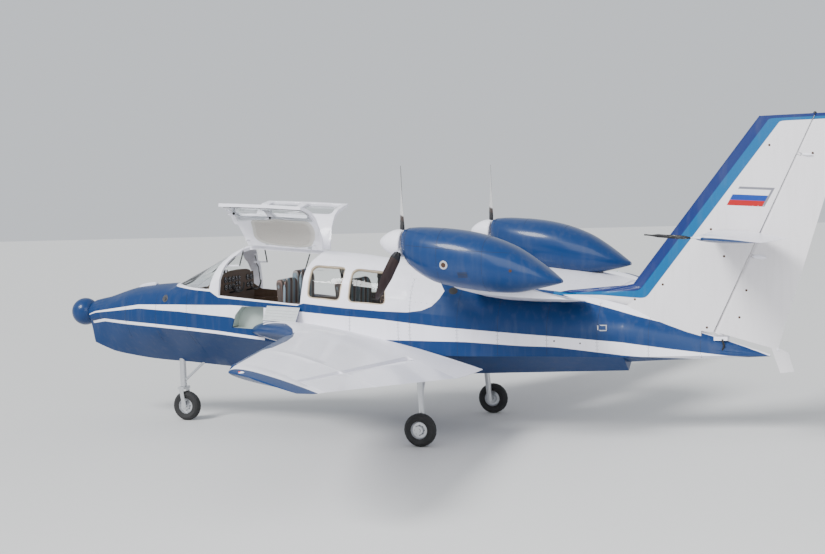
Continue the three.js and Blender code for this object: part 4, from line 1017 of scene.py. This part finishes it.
raiseDoor = doorTurn(door["openDegrees"])
lowerDoor = doorTurn(-door["openDegrees"])


def skinSurface(node, matrix=Matrix.Identity(4)):
    skin = bpy.data.objects[node + "Skin"].data
    faces = [tuple(face.vertices) for face in skin.polygons]
    return BVHTree.FromPolygons([matrix @ v.co for v in skin.vertices], faces)


shutDoor = skinSurface("cabin_door_port", lowerDoor)
shellSurface = skinSurface("cabin_shell")
hullSurfaces = {node: skinSurface(node) for node in
                ("bow_hull", "cabin_tub", "aft_hull", "windscreen_arch", "fin", "rudder", "nacelle_port")}


def placeOnDoor(name, form, paint):
    placeForm(name + "_port", moved(form, raiseDoor), "door_port", paint)
    placeForm(name + "_starboard", mirrored(moved(form, raiseDoor)), "door_starboard", paint)


# The lined pad inside each door; spots on it are a station and a turn in degrees from straight up
pad = {
    "stations": (2.97, 3.93), "turns": (12, 74), "corner": 0.55, "centreZ": 0.93, "steepest": -0.6,
    "eye": (2.88, 56), "besideEye": (0.10, 15), "rays": 96, "firstShare": 0.1, "shareStep": 0.02,
    "margin": 0.05, "thickness": 0.009, "lift": 0.001, "insetScale": 0.90, "insetLift": 0.005,
    "underside": -0.1,
    "profile": [(0.04, 1.0), (0.25, 1.0), (0.5, 1.0), (0.72, 1.0), (0.88, 1.0), (0.95, 0.92), (0.985, 0.6),
                (1.0, 0.0)],
}


def innerDoorSpot(station, degrees):
    turn = math.radians(degrees)
    direction = Vector((0, math.sin(turn), math.cos(turn)))
    hit, normal = castRay(shutDoor, at(station, 0.0, pad["centreZ"]), direction)
    return (hit, normal) if hit is not None and normal.dot(direction) < pad["steepest"] else (None, None)


def padFits(station, turn):
    apart = abs(station - pad["eye"][0]), abs(turn - pad["eye"][1])
    besideEye = apart[0] < pad["besideEye"][0] and apart[1] < pad["besideEye"][1]
    return not besideEye and innerDoorSpot(station, turn)[0] is not None


def padOutline():
    middle = (sum(pad["stations"]) / 2, sum(pad["turns"]) / 2)
    half = (pad["stations"][1] - middle[0], pad["turns"][1] - middle[1])
    rays = []
    for angle in turns(pad["rays"]):
        u = bulge(math.cos(angle), pad["corner"]) * half[0]
        v = bulge(math.sin(angle), pad["corner"]) * half[1]
        share = pad["firstShare"]
        while share < 1 and padFits(middle[0] + u * share, middle[1] + v * share):
            share += pad["shareStep"]
        rays.append((u, v, share - pad["margin"]))
    count = len(rays)
    around = range(-2, 3)
    shares = [min(rays[(i + k) % count][2] for k in around) for i in range(count)]
    shares = [sum(shares[(i + k) % count] for k in around) / len(around) for i in range(count)]
    return middle, [(ray[0] * share, ray[1] * share) for ray, share in zip(rays, shares)]


def makePad(scale, lift):
    middle, outline = padOutline()
    rings = []
    for share, height in pad["profile"] + [(row[0], pad["underside"]) for row in reversed(pad["profile"])]:
        ring = []
        for u, v in outline:
            hit, normal = innerDoorSpot(middle[0] + u * share * scale, middle[1] + v * share * scale)
            ring.append(hit + normal * (lift + pad["thickness"] * height))
        rings.append(ring)
    return ringForm(rings)


placeOnDoor("doorPad", makePad(1.0, pad["lift"]), "lining")
placeOnDoor("doorPadInset", makePad(pad["insetScale"], pad["insetLift"]), "liningDeep")
print("door pads made")

# The dark seals in front of and behind each door opening
doorEdges = [
    [(4.000, 1.280), (3.968, 1.220), (3.935, 1.080), (3.922, 0.900), (3.904, 0.760)],
    [(2.722, 0.860), (2.724, 1.000), (2.757, 1.200), (2.812, 1.284)],
]
rootSurfaces = [shellSurface] + list(hullSurfaces.values())
bends = {"mostCut": 0.45, "steps": 5, "longest": 0.04}


def smoothPath(corners, radius, closed=False):
    path = []
    count = len(corners)
    for i, corner in enumerate(corners):
        here = Vector((*corner, 0))
        if not closed and i in (0, count - 1):
            path.append(here)
            continue
        before, after = Vector((*corners[i - 1], 0)), Vector((*corners[(i + 1) % count], 0))
        back, ahead = before - here, after - here
        cut = min(radius, back.length * bends["mostCut"], ahead.length * bends["mostCut"])
        start, end = here + back.normalized() * cut, here + ahead.normalized() * cut
        for k in range(bends["steps"] + 1):
            t = k / bends["steps"]
            path.append(start * (1 - t) ** 2 + here * 2 * t * (1 - t) + end * t ** 2)
    fine = []
    for i in range(len(path) if closed else len(path) - 1):
        a, b = path[i], path[(i + 1) % len(path)]
        pieces = max(1, int((b - a).length / bends["longest"]))
        fine += [a + (b - a) * k / pieces for k in range(pieces)]
    if not closed:
        fine.append(path[-1])
    return [(p.x, p.y) for p in fine]


seal = {"middle": (3.34, 1.0), "outward": 0.030, "depth": 0.044, "radius": 0.006, "corner": 0.06}
sealForm = newForm()
for edge in doorEdges:
    spots = []
    for station, z in smoothPath(edge, seal["corner"]):
        out = Vector((station - seal["middle"][0], z - seal["middle"][1])).normalized() * seal["outward"]
        spots.append(outermost(rootSurfaces, station + out.x, z + out.y))
    addTube(sealForm, [hit - normal * seal["depth"] for hit, normal in gather(spots)], seal["radius"], 8)
placeBoth("doorSeal", sealForm, "black")

# Catches, hand levers and hinge straps
# columns of the lever: lift off the door, and shift ahead, aside and up
fittings = {
    "catches": [(2.815, 74), (3.31, 68)], "ballRadius": 0.017, "ballLift": 0.014, "leverRadius": 0.007,
    "lever": [(0.016, (0, 0, 0)), (0.030, (0.03, 0, -0.012)), (0.034, (0.065, 0, -0.02))],
    "straps": [(station, 15.5) for station in (3.20, 3.42, 3.62, 3.82)], "strapLift": 0.002,
    "strapSize": (0.05, 0.03, 0.008),
}
catches, levers, hingeStraps = newForm(), newForm(), newForm()
for hit, normal in gather(innerDoorSpot(*spot) for spot in fittings["catches"]):
    addBall(catches, hit + normal * fittings["ballLift"], fittings["ballRadius"])
    path = [hit + normal * lift + Vector(shift) for lift, shift in fittings["lever"]]
    addTube(levers, path, fittings["leverRadius"], 8)
for hit, normal in gather(innerDoorSpot(*spot) for spot in fittings["straps"]):
    addBlock(hingeStraps, hit + normal * fittings["strapLift"], fittings["strapSize"])
placeOnDoor("doorCatch", catches, "black")
placeOnDoor("doorLever", levers, "white")
placeOnDoor("doorStrap", hingeStraps, "silver")

# Trim round the rear windows and the windows of the doors
rearPanes = [[(4.020, 1.165), (4.500, 1.128), (4.460, 0.712), (4.000, 0.758)],
             [(4.590, 1.115), (5.050, 1.062), (5.085, 0.660), (4.565, 0.700)]]
doorPanes = [[(2.800, 0.850), (3.275, 0.802), (3.290, 1.150), (2.850, 1.165)],
             [(3.345, 0.795), (3.860, 0.742), (3.880, 1.090), (3.360, 1.140)]]
# shape: share of the width out from the pane, and depth below the surface
trim = {
    "outward": 0.012, "rearCorner": 0.07, "rearWidth": 0.016, "doorCorner": 0.06, "doorWidth": 0.010,
    "shape": [(-0.35, 0.003), (0.5, 0.002), (1.0, 0.007), (1.0, 0.036), (-0.35, 0.036)],
}


def makeTrim(corners, radius, surface, width):
    centre = Vector((sum(c[0] for c in corners) / 4, sum(c[1] for c in corners) / 4))
    rings = []
    for station, z in smoothPath(corners, radius, True):
        inward = (centre - Vector((station, z))).normalized()
        hit, normal = onSide(surface, station - inward.x * trim["outward"], z - inward.y * trim["outward"])
        edge = Vector((plane["noseX"] - station, hit.y, plane["floatLine"] + z))
        toward = Vector((-inward.x, 0, inward.y))
        toward = (toward - normal * toward.dot(normal)).normalized()
        rings.append([edge + toward * width * along - normal * depth for along, depth in trim["shape"]])
    return ringForm(rings, True)


rearTrims = [makeTrim(pane, trim["rearCorner"], shellSurface, trim["rearWidth"]) for pane in rearPanes]
placeBoth("rearWindowTrim", joined(*rearTrims), "cream")
doorTrims = [makeTrim(pane, trim["doorCorner"], shutDoor, trim["doorWidth"]) for pane in doorPanes]
placeOnDoor("doorWindowTrim", joined(*doorTrims), "white")

# Seats: a hard shell under soft cushions, which are blown up as cloth
# columns: node, front station, distance to port, width, height of the back, and the cloth
seats = [
    ("front_seat_port", 3.110, 0.232, 0.420, 0.920, "seatStripe"),
    ("front_seat_starboard", 3.110, -0.232, 0.420, 1.010, "seatStripe"),
    ("middle_seat_port", 3.950, 0.232, 0.420, 0.890, "seatStripe"),
    ("middle_seat_starboard", 3.950, -0.232, 0.420, 0.890, "seatStripe"),
    ("rear_bench", 4.560, 0.0, 0.820, 0.700, "benchCloth"),
]
# base: shift aft, height and lean in degrees
# back: shift aft, lowest height, what is taken off the seat's height, and how far it leans back
cushion = {
    "floorZ": 0.0903, "voxel": 0.010, "most": 0.011, "pressure": 4.0, "frames": 20, "power": 7.0,
    "fill": 0.8, "baseSize": (0.345, 0.385, 0.115), "backSize": (0.560, 0.385, 0.090), "steps": 20,
    "corners": 40, "endShare": 0.02, "depthPower": 0.5, "gap": 0.022, "widest": 0.6,
    "base": (0.140, 0.250, 2), "back": (0.397, 0.315, 0.335, 0.040),
}


def pillowTurn(t):
    return bulge(math.cos(t), 2 / cushion["power"])


def makePillow(size):
    rings = []
    for i in range(cushion["steps"] + 1):
        u = -math.cos(math.pi * (cushion["endShare"] + (1 - 2 * cushion["endShare"]) * i / cushion["steps"]))
        share = (1 - abs(u) ** cushion["power"]) ** (1 / cushion["power"])
        ring = []
        for t in turns(cushion["corners"]):
            y = pillowTurn(t) * share
            z = bulge(math.sin(t), cushion["depthPower"]) * share ** cushion["depthPower"]
            ring.append(Vector((u * size[0] / 2, y * size[1] / 2, z * size[2] / 2)))
        rings.append(ring)
    return ringForm(rings)


def readMade(piece):
    return piece.evaluated_get(bpy.context.evaluated_depsgraph_get())


def blowUp(form):
    piece = newObject("pillow", meshFrom("pillow", form["points"], form["faces"]))
    remesh = piece.modifiers.new("even", "REMESH")
    remesh.mode = "VOXEL"
    remesh.voxel_size = cushion["voxel"]
    even = bpy.data.meshes.new_from_object(readMade(piece))
    piece.modifiers.clear()
    piece.data = even
    start = np.array([v.co for v in even.vertices])
    settled = start
    cloth = piece.modifiers.new("cloth", "CLOTH")
    cloth.settings.use_pressure = True
    cloth.settings.uniform_pressure_force = cushion["pressure"]
    cloth.settings.effector_weights.gravity = 0
    for number in range(1, cushion["frames"] + 1):
        bpy.context.scene.frame_set(number)
    change = np.array([v.co for v in readMade(piece).to_mesh().vertices]) - start
    size = np.linalg.norm(change, axis=1, keepdims=True)
    settled = start + change * np.minimum(1, cushion["most"] / np.maximum(size, rounding["tiny"]))
    bpy.context.scene.frame_set(1)
    faces = [tuple(face.vertices) for face in even.polygons]
    bpy.data.objects.remove(piece)
    return {"points": [Vector(p) for p in settled], "faces": faces}


basePillow = blowUp(makePillow(cushion["baseSize"]))
backPillow = blowUp(makePillow(cushion["backSize"]))
print("cushions blown up")


def seatMatrix(station, y, z, lean, stretch):
    axes = Matrix.Rotation(math.radians(lean), 4, "Y") @ Matrix.Diagonal((*stretch, 1))
    return Matrix.Translation(at(station, y, z)) @ axes


# columns of the shell's outline: station, height, and 1 where the height is taken from the crown
seatShell = {
    "steps": 13, "crownDrop": 0.09, "crownPower": 3.5, "sideGap": 0.03,
    "outline": [(0.0, 0.060, 0), (-0.035, 0.080, 0), (-0.048, 0.185, 0), (0.335, 0.185, 0),
                (0.425, 0.250, 0), (0.458, -0.04, 1), (0.466, -0.015, 1), (0.480, -0.02, 1),
                (0.488, -0.06, 1), (0.450, 0.120, 0), (0.430, 0.060, 0)],
}
piping = {"radius": 0.005, "corners": 64, "count": 6, "edgeShare": 0.985, "inset": 0.86, "lift": 0.001}


def makeShell(station, y, width, top):
    rings = []
    for edge in np.linspace(-0.5, 0.5, seatShell["steps"]):
        crown = top - seatShell["crownDrop"] * abs(2 * edge) ** seatShell["crownPower"]
        rings.append([at(station + s, y + edge * width, z + crown * high + cushion["floorZ"])
                      for s, z, high in seatShell["outline"]])
    return ringForm(rings)


def makePiping(size):
    level = size[2] * 0.5 + piping["lift"]
    reach = piping["edgeShare"] * piping["inset"] / 2
    path = []
    for t in turns(piping["corners"]):
        y = bulge(math.sin(t), 2 / cushion["power"]) * size[1]
        path.append(Vector((pillowTurn(t) * size[0] * reach, y * reach, level)))
    rings = []
    upward = Vector((0, 0, 1))
    for i, point in enumerate(path):
        ahead = (path[(i + 1) % len(path)] - path[i - 1]).normalized()
        lift = ahead.cross(upward).normalized()
        rings.append(circle(point, upward, lift, piping["radius"], piping["count"]))
    return ringForm(rings, True)


def placeSeat(node, station, y, width, top, cloth):
    shellPaint = "seatShell" if cloth == "seatStripe" else "brown"
    shellForm = makeShell(station, y, width - seatShell["sideGap"], top)
    placeForm(node + "Shell", shellForm, "root", shellPaint, node)
    count = 2 if width > cushion["widest"] else 1
    across = width / count
    ahead, rise, lean = cushion["base"]
    aheadBack, lowBack, hidden, leanBack = cushion["back"]
    length = top - hidden
    for part in range(count):
        middle = y + across * (part - (count - 1) / 2)
        stretch = (across - cushion["gap"]) / cushion["baseSize"][1]
        base = seatMatrix(station + ahead, middle, rise + cushion["floorZ"], lean, (1, stretch, 1))
        lengthen = length / cushion["backSize"][0]
        middleZ = lowBack + length / 2 + cushion["floorZ"]
        turned = -90 + math.degrees(math.atan2(leanBack, length))
        back = seatMatrix(station + aheadBack, middle, middleZ, turned, (lengthen, stretch, 1))
        for label, pillow, matrix, size in (("Base", basePillow, base, cushion["baseSize"]),
                                            ("Back", backPillow, back, cushion["backSize"])):
            piece = placeForm(f"{node}{label}{part}", moved(pillow, matrix), "root", cloth)
            placeForm(f"{node}{label}Piping{part}", moved(makePiping(size), matrix), "root", "seatPiping")


for row in seats:
    placeSeat(*row)
print("seats made")

# The instrument board, its dials, and the two control wheels
board = {
    "plate": (2.663, -0.005, 0.925), "plateSize": (0.006, 0.84, 0.24), "dialStation": 2.666,
    "dialDepth": 0.010, "rimWidth": 0.004, "faceLift": 0.0015, "marks": 12, "markShare": 0.72,
    "markLift": 0.002, "markSize": (0.001, 0.0022, 0.18), "handLift": 0.003, "handShare": 0.2,
    "handSize": (0.001, 0.003, 0.7),
}
# columns: distance to port, height, radius
dials = [
    (0.345, 0.975, 0.042), (0.245, 0.975, 0.042), (0.145, 0.975, 0.042), (0.345, 0.875, 0.042),
    (0.245, 0.875, 0.042), (0.145, 0.875, 0.042), (0.060, 0.985, 0.030), (0.060, 0.915, 0.030),
    (0.060, 0.845, 0.030), (-0.020, 0.985, 0.030), (-0.020, 0.915, 0.030), (-0.020, 0.845, 0.030),
    (-0.250, 0.975, 0.042), (-0.350, 0.975, 0.042), (-0.250, 0.875, 0.036), (-0.350, 0.875, 0.036),
]


dialFaces, dialRims, dialMarks, plate = newForm(), newForm(), newForm(), newForm()


def addMark(centre, shift, size, radius, turn):
    wide = (size[0], size[1], radius * size[2])
    addBlock(dialMarks, centre + Vector(shift), wide, Matrix.Rotation(turn, 3, "X"))


addBlock(plate, at(*board["plate"]), board["plateSize"])
for y, z, radius in dials:
    centre = at(board["dialStation"], y, z)
    depth = board["dialDepth"]
    addDisc(dialRims, centre, (-1, 0, 0), radius, depth)
    addDisc(dialFaces, centre, (-1, 0, 0), radius - board["rimWidth"], depth + board["faceLift"])
    reach = radius * board["markShare"]
    for turn in turns(board["marks"]):
        shift = (-depth - board["markLift"], math.cos(turn) * reach, math.sin(turn) * reach)
        addMark(centre, shift, board["markSize"], radius, turn - math.pi / 2)
    reach = radius * board["handShare"]
    shift = (-depth - board["handLift"], reach, reach)
    addMark(centre, shift, board["handSize"], radius, -math.pi / 4)
placeForm("instrumentPlate", plate, "root", "brown", smooth=False)
placeForm("dialRims", dialRims, "root", "dialBlack")
placeForm("dialFaces", dialFaces, "root", "dialBlack")
placeForm("dialMarks", dialMarks, "root", "white", smooth=False)

controls = {
    "column": [(2.655, 0.232, 0.80), (2.76, 0.232, 0.82), (2.80, 0.232, 0.83)], "columnRadius": 0.013,
    "station": 2.80, "y": 0.232, "z": 0.86, "reach": 0.15, "drop": 0.05, "horn": 0.05, "turn": 1.9,
    "steps": 25, "radius": 0.011,
}
controlForm = newForm()
addTube(controlForm, [at(*spot) for spot in controls["column"]], controls["columnRadius"], 12)
grip = []
for t in np.linspace(-controls["turn"], controls["turn"], controls["steps"]):
    height = controls["z"] - controls["drop"] * math.cos(t) + controls["horn"] * abs(math.sin(t)) ** 3
    grip.append(at(controls["station"], controls["y"] + controls["reach"] * math.sin(t), height))
addTube(controlForm, grip, controls["radius"])
placeBoth("controlWheels", controlForm, "black")

hoodParts = {
    "box": (2.63, 0.30, 1.085), "boxSize": (0.05, 0.10, 0.045),
    "ball": (2.70, 0.385, 1.165), "ballSize": 0.025, "face": (2.656, 0.30, 1.088), "faceRadius": 0.020,
    "faceDepth": 0.004,
}
hood, hoodFace = newForm(), newForm()
addBlock(hood, at(*hoodParts["box"]), hoodParts["boxSize"])
addBall(hood, at(*hoodParts["ball"]), hoodParts["ballSize"])
addDisc(hoodFace, at(*hoodParts["face"]), (-1, 0, 0), hoodParts["faceRadius"], hoodParts["faceDepth"])
placeForm("hoodInstrument", hood, "root", "black")
placeForm("hoodInstrumentFace", hoodFace, "root", "white")
print("instruments made")


# Rivets, screws and bolts stand on points, each with the way it faces
def makeRivetGroup():
    group, given, sink = makeGroup(
        "rivetsOnPoints",
        [("Geometry", "Geometry", None), ("Radius", "Float", 0.004), ("Height", "Float", 0.0012),
         ("Material", "Material", None)],
        [("Geometry", "Geometry")], "GeometryNodeTree",
    )
    head = addNode(group, "GeometryNodeMeshUVSphere", {"Segments": 8, "Rings": 5, "Radius": 1.0})
    radius, height = given["Radius"], given["Height"]
    size = addNode(group, "ShaderNodeCombineXYZ", {"X": radius, "Y": radius, "Z": height})
    facing = addNode(group, "GeometryNodeInputNamedAttribute", {"Name": "facing"}, data_type="FLOAT_VECTOR")
    turn = addNode(group, "FunctionNodeAlignRotationToVector", {"Vector": facing}, axis="Z")
    placed = addNode(group, "GeometryNodeInstanceOnPoints", {
        "Points": given["Geometry"], "Instance": head, "Rotation": turn, "Scale": size})
    real = addNode(group, "GeometryNodeRealizeInstances", {"Geometry": placed})
    painted = addNode(group, "GeometryNodeSetMaterial", {"Geometry": real, "Material": given["Material"]})
    giveBack(sink, Geometry=painted)
    return group


rivetGroup = makeRivetGroup()


def placeRivets(name, spots, radius, height, paint, body="root"):
    mesh = meshFrom(name, [p for p, n in spots])
    facing = mesh.attributes.new("facing", "FLOAT_VECTOR", "POINT")
    facing.data.foreach_set("vector", [c for p, n in spots for c in n])
    work = newObject("rivetPoints", mesh)
    modifier = work.modifiers.new("rivets", "NODES")
    modifier.node_group = rivetGroup
    items = [item for item in rivetGroup.interface.items_tree if item.in_out == "INPUT"]
    labels = {item.name: item.identifier for item in items}
    for label, value in (("Radius", radius), ("Height", height), ("Material", paints[paint])):
        modifier[labels[label]] = value
    made = bpy.data.meshes.new_from_object(readMade(work))
    bpy.data.objects.remove(work)
    made.shade_smooth()
    placePiece(name, made, body, paints[paint])


def bothSides(spots):
    return spots + [(Vector((p.x, -p.y, p.z)), Vector((n.x, -n.y, n.z))) for p, n in spots]


# Hull frames: a thin seam round the side and a row of rivets on each hand of it
# columns: surface, station, lowest height, highest height
frames = [
    ("bow_hull", 1.10, 0.20, 0.78), ("bow_hull", 1.66, 0.16, 0.80), ("bow_hull", 2.20, 0.13, 0.86),
    ("aft_hull", 5.40, -0.02, 0.98), ("aft_hull", 6.00, -0.02, 0.86), ("aft_hull", 6.50, 0.0, 0.80),
    ("aft_hull", 7.10, 0.03, 0.74), ("aft_hull", 7.70, 0.0, 0.66), ("aft_hull", 8.30, -0.02, 0.56),
    ("aft_hull", 8.90, -0.03, 0.40), ("cabin_tub", 4.60, 0.32, 0.60), ("cabin_tub", 5.25, 0.20, 0.56),
]
# Rows of rivets along the hull; columns: surface, first and last station, height at each
rows = [("bow_hull", 0.6, 2.2, 0.47, 0.47), ("aft_hull", 5.4, 9.2, 0.70, 0.24)]
riveting = {
    "seamWidth": 0.004, "seamHeight": 0.0006, "seamStep": 0.03, "shift": 0.014, "frameStep": 0.045,
    "rowStep": 0.07, "hull": (0.0038, 0.0012), "wing": (0.004, 0.0012), "fin": (0.0036, 0.0012),
}
seams, rivets = newForm(), []
for node, station, low, high in frames:
    surface = hullSurfaces[node]
    path = gather(onSide(surface, station, z) for z in np.arange(low, high, riveting["seamStep"]))
    addStrip(seams, path, riveting["seamWidth"], riveting["seamHeight"])
    for shift in (-riveting["shift"], riveting["shift"]):
        heights = np.arange(low, high, riveting["frameStep"])
        rivets += gather(onSide(surface, station + shift, z) for z in heights)
for node, first, last, low, high in rows:
    for station in np.arange(first, last, riveting["rowStep"]):
        height = float(np.interp(station, [first, last], [low, high]))
        rivets += gather([onSide(hullSurfaces[node], station, height)])
placeBoth("hullSeams", seams, "seam")
placeRivets("hullRivets", bothSides(rivets), *riveting["hull"], "blue")

wingRows = {
    "ribs": (1.30, 2.05, 2.80, 3.55, 4.30, 5.05, 5.75), "inset": 0.05, "lastShare": 0.98, "ribStep": 0.045,
    "spars": (0.22, 0.60), "span": (0.9, 6.1, 0.075), "small": 0.01,
}


def wingRivet(y, f):
    spot = wingSpot(y, f, 1)
    ahead, aside = wingSpot(y, f + wingRows["small"], 1), wingSpot(y + wingRows["small"], f, 1)
    normal = (ahead - spot).cross(aside - spot).normalized()
    return spot, normal if normal.z > 0 else -normal


wingRivets = []
for y in wingRows["ribs"]:
    lead, trail = wingEnds(y)
    shares = np.arange(lead + wingRows["inset"], min(trail, wingRows["lastShare"]), wingRows["ribStep"])
    wingRivets += [wingRivet(y, f) for f in shares]
wingRivets += [wingRivet(y, f) for f in wingRows["spars"] for y in np.arange(*wingRows["span"])]
placeRivets("wingRivets", bothSides(wingRivets), *riveting["wing"], "white")

finRows = {
    "heights": (0.95, 1.35, 1.75, 2.15, 2.55), "inset": 0.38, "last": 10.9, "step": 0.06, "flattest": 0.8,
}
finSurface, nacelle = hullSurfaces["fin"], hullSurfaces["nacelle_port"]
finRivets = []
for z in finRows["heights"]:
    stations = np.arange(finLead(z) + finRows["inset"], finRows["last"], finRows["step"])
    found = gather(onSide(finSurface, station, z) for station in stations)
    finRivets += [(hit, normal) for hit, normal in found if abs(normal.y) > finRows["flattest"]]
placeRivets("finRivets", bothSides(finRivets), *riveting["fin"], "white")
print("rivets made")

# Marks and small fittings on the fin and the rudder
# columns of the brackets: station, height, length and size
tail = {
    "plugs": [(9.739, 2.447), (10.22, 2.335), (9.047, 1.494), (9.192, 1.174), (8.459, 0.85), (8.113, 0.672),
              (9.438, 0.772), (9.35, 0.456), (8.971, 0.337)],
    "plugSize": (0.014, 0.002), "brackets": [(10.164, 2.326, 0.13, 0.7), (9.597, 1.168, 0.17, 1.4)],
    "bracketRadii": (0.004, 0.013, 0.018, 0.020, 0.018, 0.013, 0.004), "bracketY": 0.04,
    "bracketDrop": 0.015, "block": (9.13, 0.045, 0.205), "blockSize": (0.16, 0.05, 0.045),
    "armRadius": 0.012,
    "arm": [(9.15, 0.075, 0.20), (9.17, 0.085, 0.12), (9.14, 0.075, 0.05)],
    "topLamp": (10.251, 0, 2.787), "topLampSize": 0.022, "lamp": (9.779, 0, 0.071), "lampSize": 0.02,
}
plugs, brackets, arm = newForm(), newForm(), newForm()
tailSurfaces = (finSurface, hullSurfaces["rudder"], hullSurfaces["aft_hull"])
addDiscs(plugs, tailSurfaces, [(*spot, *tail["plugSize"]) for spot in tail["plugs"]], 16)
placeForm("finPlugs", plugs, "root", "rust")
for station, z, length, size in tail["brackets"]:
    path = [at(station - length / 2 + length * t, tail["bracketY"], z - tail["bracketDrop"] * size * t)
            for t in np.linspace(0, 1, len(tail["bracketRadii"]))]
    addTube(brackets, path, [size * r for r in tail["bracketRadii"]])
addBlock(brackets, at(*tail["block"]), tail["blockSize"])
placeBoth("rudderBrackets", brackets, "white")
addTube(arm, [at(*spot) for spot in tail["arm"]], tail["armRadius"], 8)
placeForm("rudderArm", arm, "root", "black")
placeBall("finTopLamp", tail["topLamp"], tail["topLampSize"], "black")

# Nacelle panel seams and rivets, the round pipe ends and the cooling slots
cowl = {
    "stations": (5.86, 6.30, 6.84), "turns": (-150, 150, 61), "castFrom": 1.2, "widest": 0.5,
    "rivetShift": 0.012, "rivet": (0.0038, 0.0012), "seam": (0.004, 0.0008), "sideSeam": (5.84, 7.3, 0.05),
    "slots": 4, "slotZ": 1.135, "slotStep": 0.016, "slotSpan": (6.55, 6.67, 0.02), "slot": (0.008, 0.002),
    "pipeRing": [(6.39, 1.227, 0.050, 0.006)],
    "pipeHole": [(6.39, 1.227, 0.030, 0.0075), (7.16, 1.147, 0.018, 0.003)],
}


def thrustZ(station):
    return thrust["z"] - (station - thrust["station"]) * thrust["slope"]


nacelleSeams, rings, holes, slots, nacelleRivets = newForm(), newForm(), newForm(), newForm(), []
for station in cowl["stations"]:
    axis = at(station, thrust["y"], thrustZ(station))
    path = []
    for turn in np.linspace(*cowl["turns"]):
        out = Vector((0, math.cos(math.radians(turn)), math.sin(math.radians(turn))))
        path.append(castRay(nacelle, axis + out * cowl["castFrom"], -out))
    path = [(hit, normal) for hit, normal in gather(path) if (hit - axis).length < cowl["widest"]]
    nacelleRivets += [(hit + Vector((cowl["rivetShift"], 0, 0)), normal) for hit, normal in path]
    addStrip(nacelleSeams, path, *cowl["seam"])
sideSeam = gather(onSide(nacelle, station, thrustZ(station)) for station in np.arange(*cowl["sideSeam"]))
addStrip(nacelleSeams, sideSeam, *cowl["seam"])
placeBoth("nacelleSeams", nacelleSeams, "seam")
placeRivets("nacelleRivets", bothSides(nacelleRivets), *cowl["rivet"], "blue")
addDiscs(rings, [nacelle], cowl["pipeRing"])
addDiscs(holes, [nacelle], cowl["pipeHole"])
# The cooling slots are thin black strips on the cowl: painted shade of the slots' insides
for k in range(cowl["slots"]):
    z = cowl["slotZ"] - cowl["slotStep"] * k
    addStrip(slots, gather(onSide(nacelle, s, z) for s in np.arange(*cowl["slotSpan"])), *cowl["slot"])
placeBoth("nacellePipeRing", rings, "silver")
placeBoth("nacellePipeHole", holes, "rust")
placeBoth("nacelleSlotShade", slots, "black")

# Openings and drains in the hull side, a small frame, and the lamps at the wing tips and the tail
hullHoleShade, plateMark, unitBall = newForm(), newForm(), newForm()
holeRows = [(5.90, 0.812, 0.055, 0.003), (7.19, 0.20, 0.010, 0.003), (7.50, 0.17, 0.010, 0.003)]
# The openings and drains are black discs on the hull side: painted shade of the holes' insides
addDiscs(hullHoleShade, [hullSurfaces["aft_hull"]], holeRows)
placeBoth("hullHoleShade", hullHoleShade, "black")
# columns of the bars: shift aft and up, length and height
smallFrame = {
    "station": 7.76, "z": 0.35, "depth": 0.012,
    "bars": [(0, 0.03, 0.11, 0.012), (0, -0.03, 0.11, 0.012), (-0.05, 0, 0.012, 0.06),
             (0.05, 0, 0.012, 0.06)],
}
for aft, up, length, height in smallFrame["bars"]:
    spot = onSide(hullSurfaces["aft_hull"], smallFrame["station"] + aft, smallFrame["z"] + up)
    for hit, normal in gather([spot]):
        addBlock(plateMark, hit, (length, smallFrame["depth"], height))
placeBoth("hullPlate", plateMark, "silver")
tipLamp = {
    "place": (6.22, 6.28, 0.585), "lensShift": (0.012, 0, 0.004), "lensSize": (0.018, 0.012, 0.010),
    "socketSize": (0.030, 0.013, 0.011),
}
addBall(unitBall, (0, 0, 0), 1.0)
for side, lens, hand in (("Port", "lampRed", 1), ("Starboard", "lampGreen", -1)):
    station, y, z = tipLamp["place"]
    for label, shift, size, paint in (("", tipLamp["lensShift"], tipLamp["lensSize"], lens),
                                      ("Socket", (0, 0, 0), tipLamp["socketSize"], "white")):
        matrix = Matrix.Translation(at(station, y * hand, z) + Vector(shift)) @ Matrix.Diagonal((*size, 1))
        placeForm(f"tipLamp{label}{side}", moved(unitBall, matrix), "root", paint)
placeBall("tailLamp", tail["lamp"], tail["lampSize"], "white")


# Rails on the slid lid, and bolts on the wheel rims
def solidSurface(node):
    points, triangles = readSolid(node)
    return points.min(axis=0), points.max(axis=0), BVHTree.FromPolygons(points.tolist(), triangles.tolist())


rail = {"shares": (0.12, 0.32, 0.5, 0.68, 0.88), "inset": 0.012, "steps": 14, "size": (0.012, 0.006)}
rails = newForm()
low, high, surface = solidSurface("locker_lid")
for share in rail["shares"]:
    y = low[1] + share * (high[1] - low[1])
    places = np.linspace(low[0] + rail["inset"], high[0] - rail["inset"], rail["steps"])
    path = gather(castRay(surface, Vector((x, y, outside)), (0, 0, -1)) for x in places)
    addStrip(rails, path, *rail["size"])
placeForm("lidRails", rails, "root", "silver")
bolt = {"count": 8, "ringShare": 0.55, "castFrom": 0.5, "size": (0.008, 0.006)}
rims = [("nose_rim", "nose_wheel", 1), ("main_rim_port", "main_wheel_port", 1),
        ("main_rim_starboard", "main_wheel_starboard", -1)]
for node, body, hand in rims:
    low, high, surface = solidSurface(node)
    centre = (low + high) / 2
    reach = (high[0] - low[0]) / 2 * bolt["ringShare"]
    spots = []
    for turn in turns(bolt["count"]):
        start = centre + np.array((math.cos(turn) * reach, hand * bolt["castFrom"], math.sin(turn) * reach))
        spots.append(castRay(surface, Vector(start), (0, -hand, 0)))
    spots = [(hit, Vector((0, hand, 0))) for hit, normal in gather(spots)]
    placeRivets(node + "Bolts", spots, *bolt["size"], "steel", body)
print("details made")
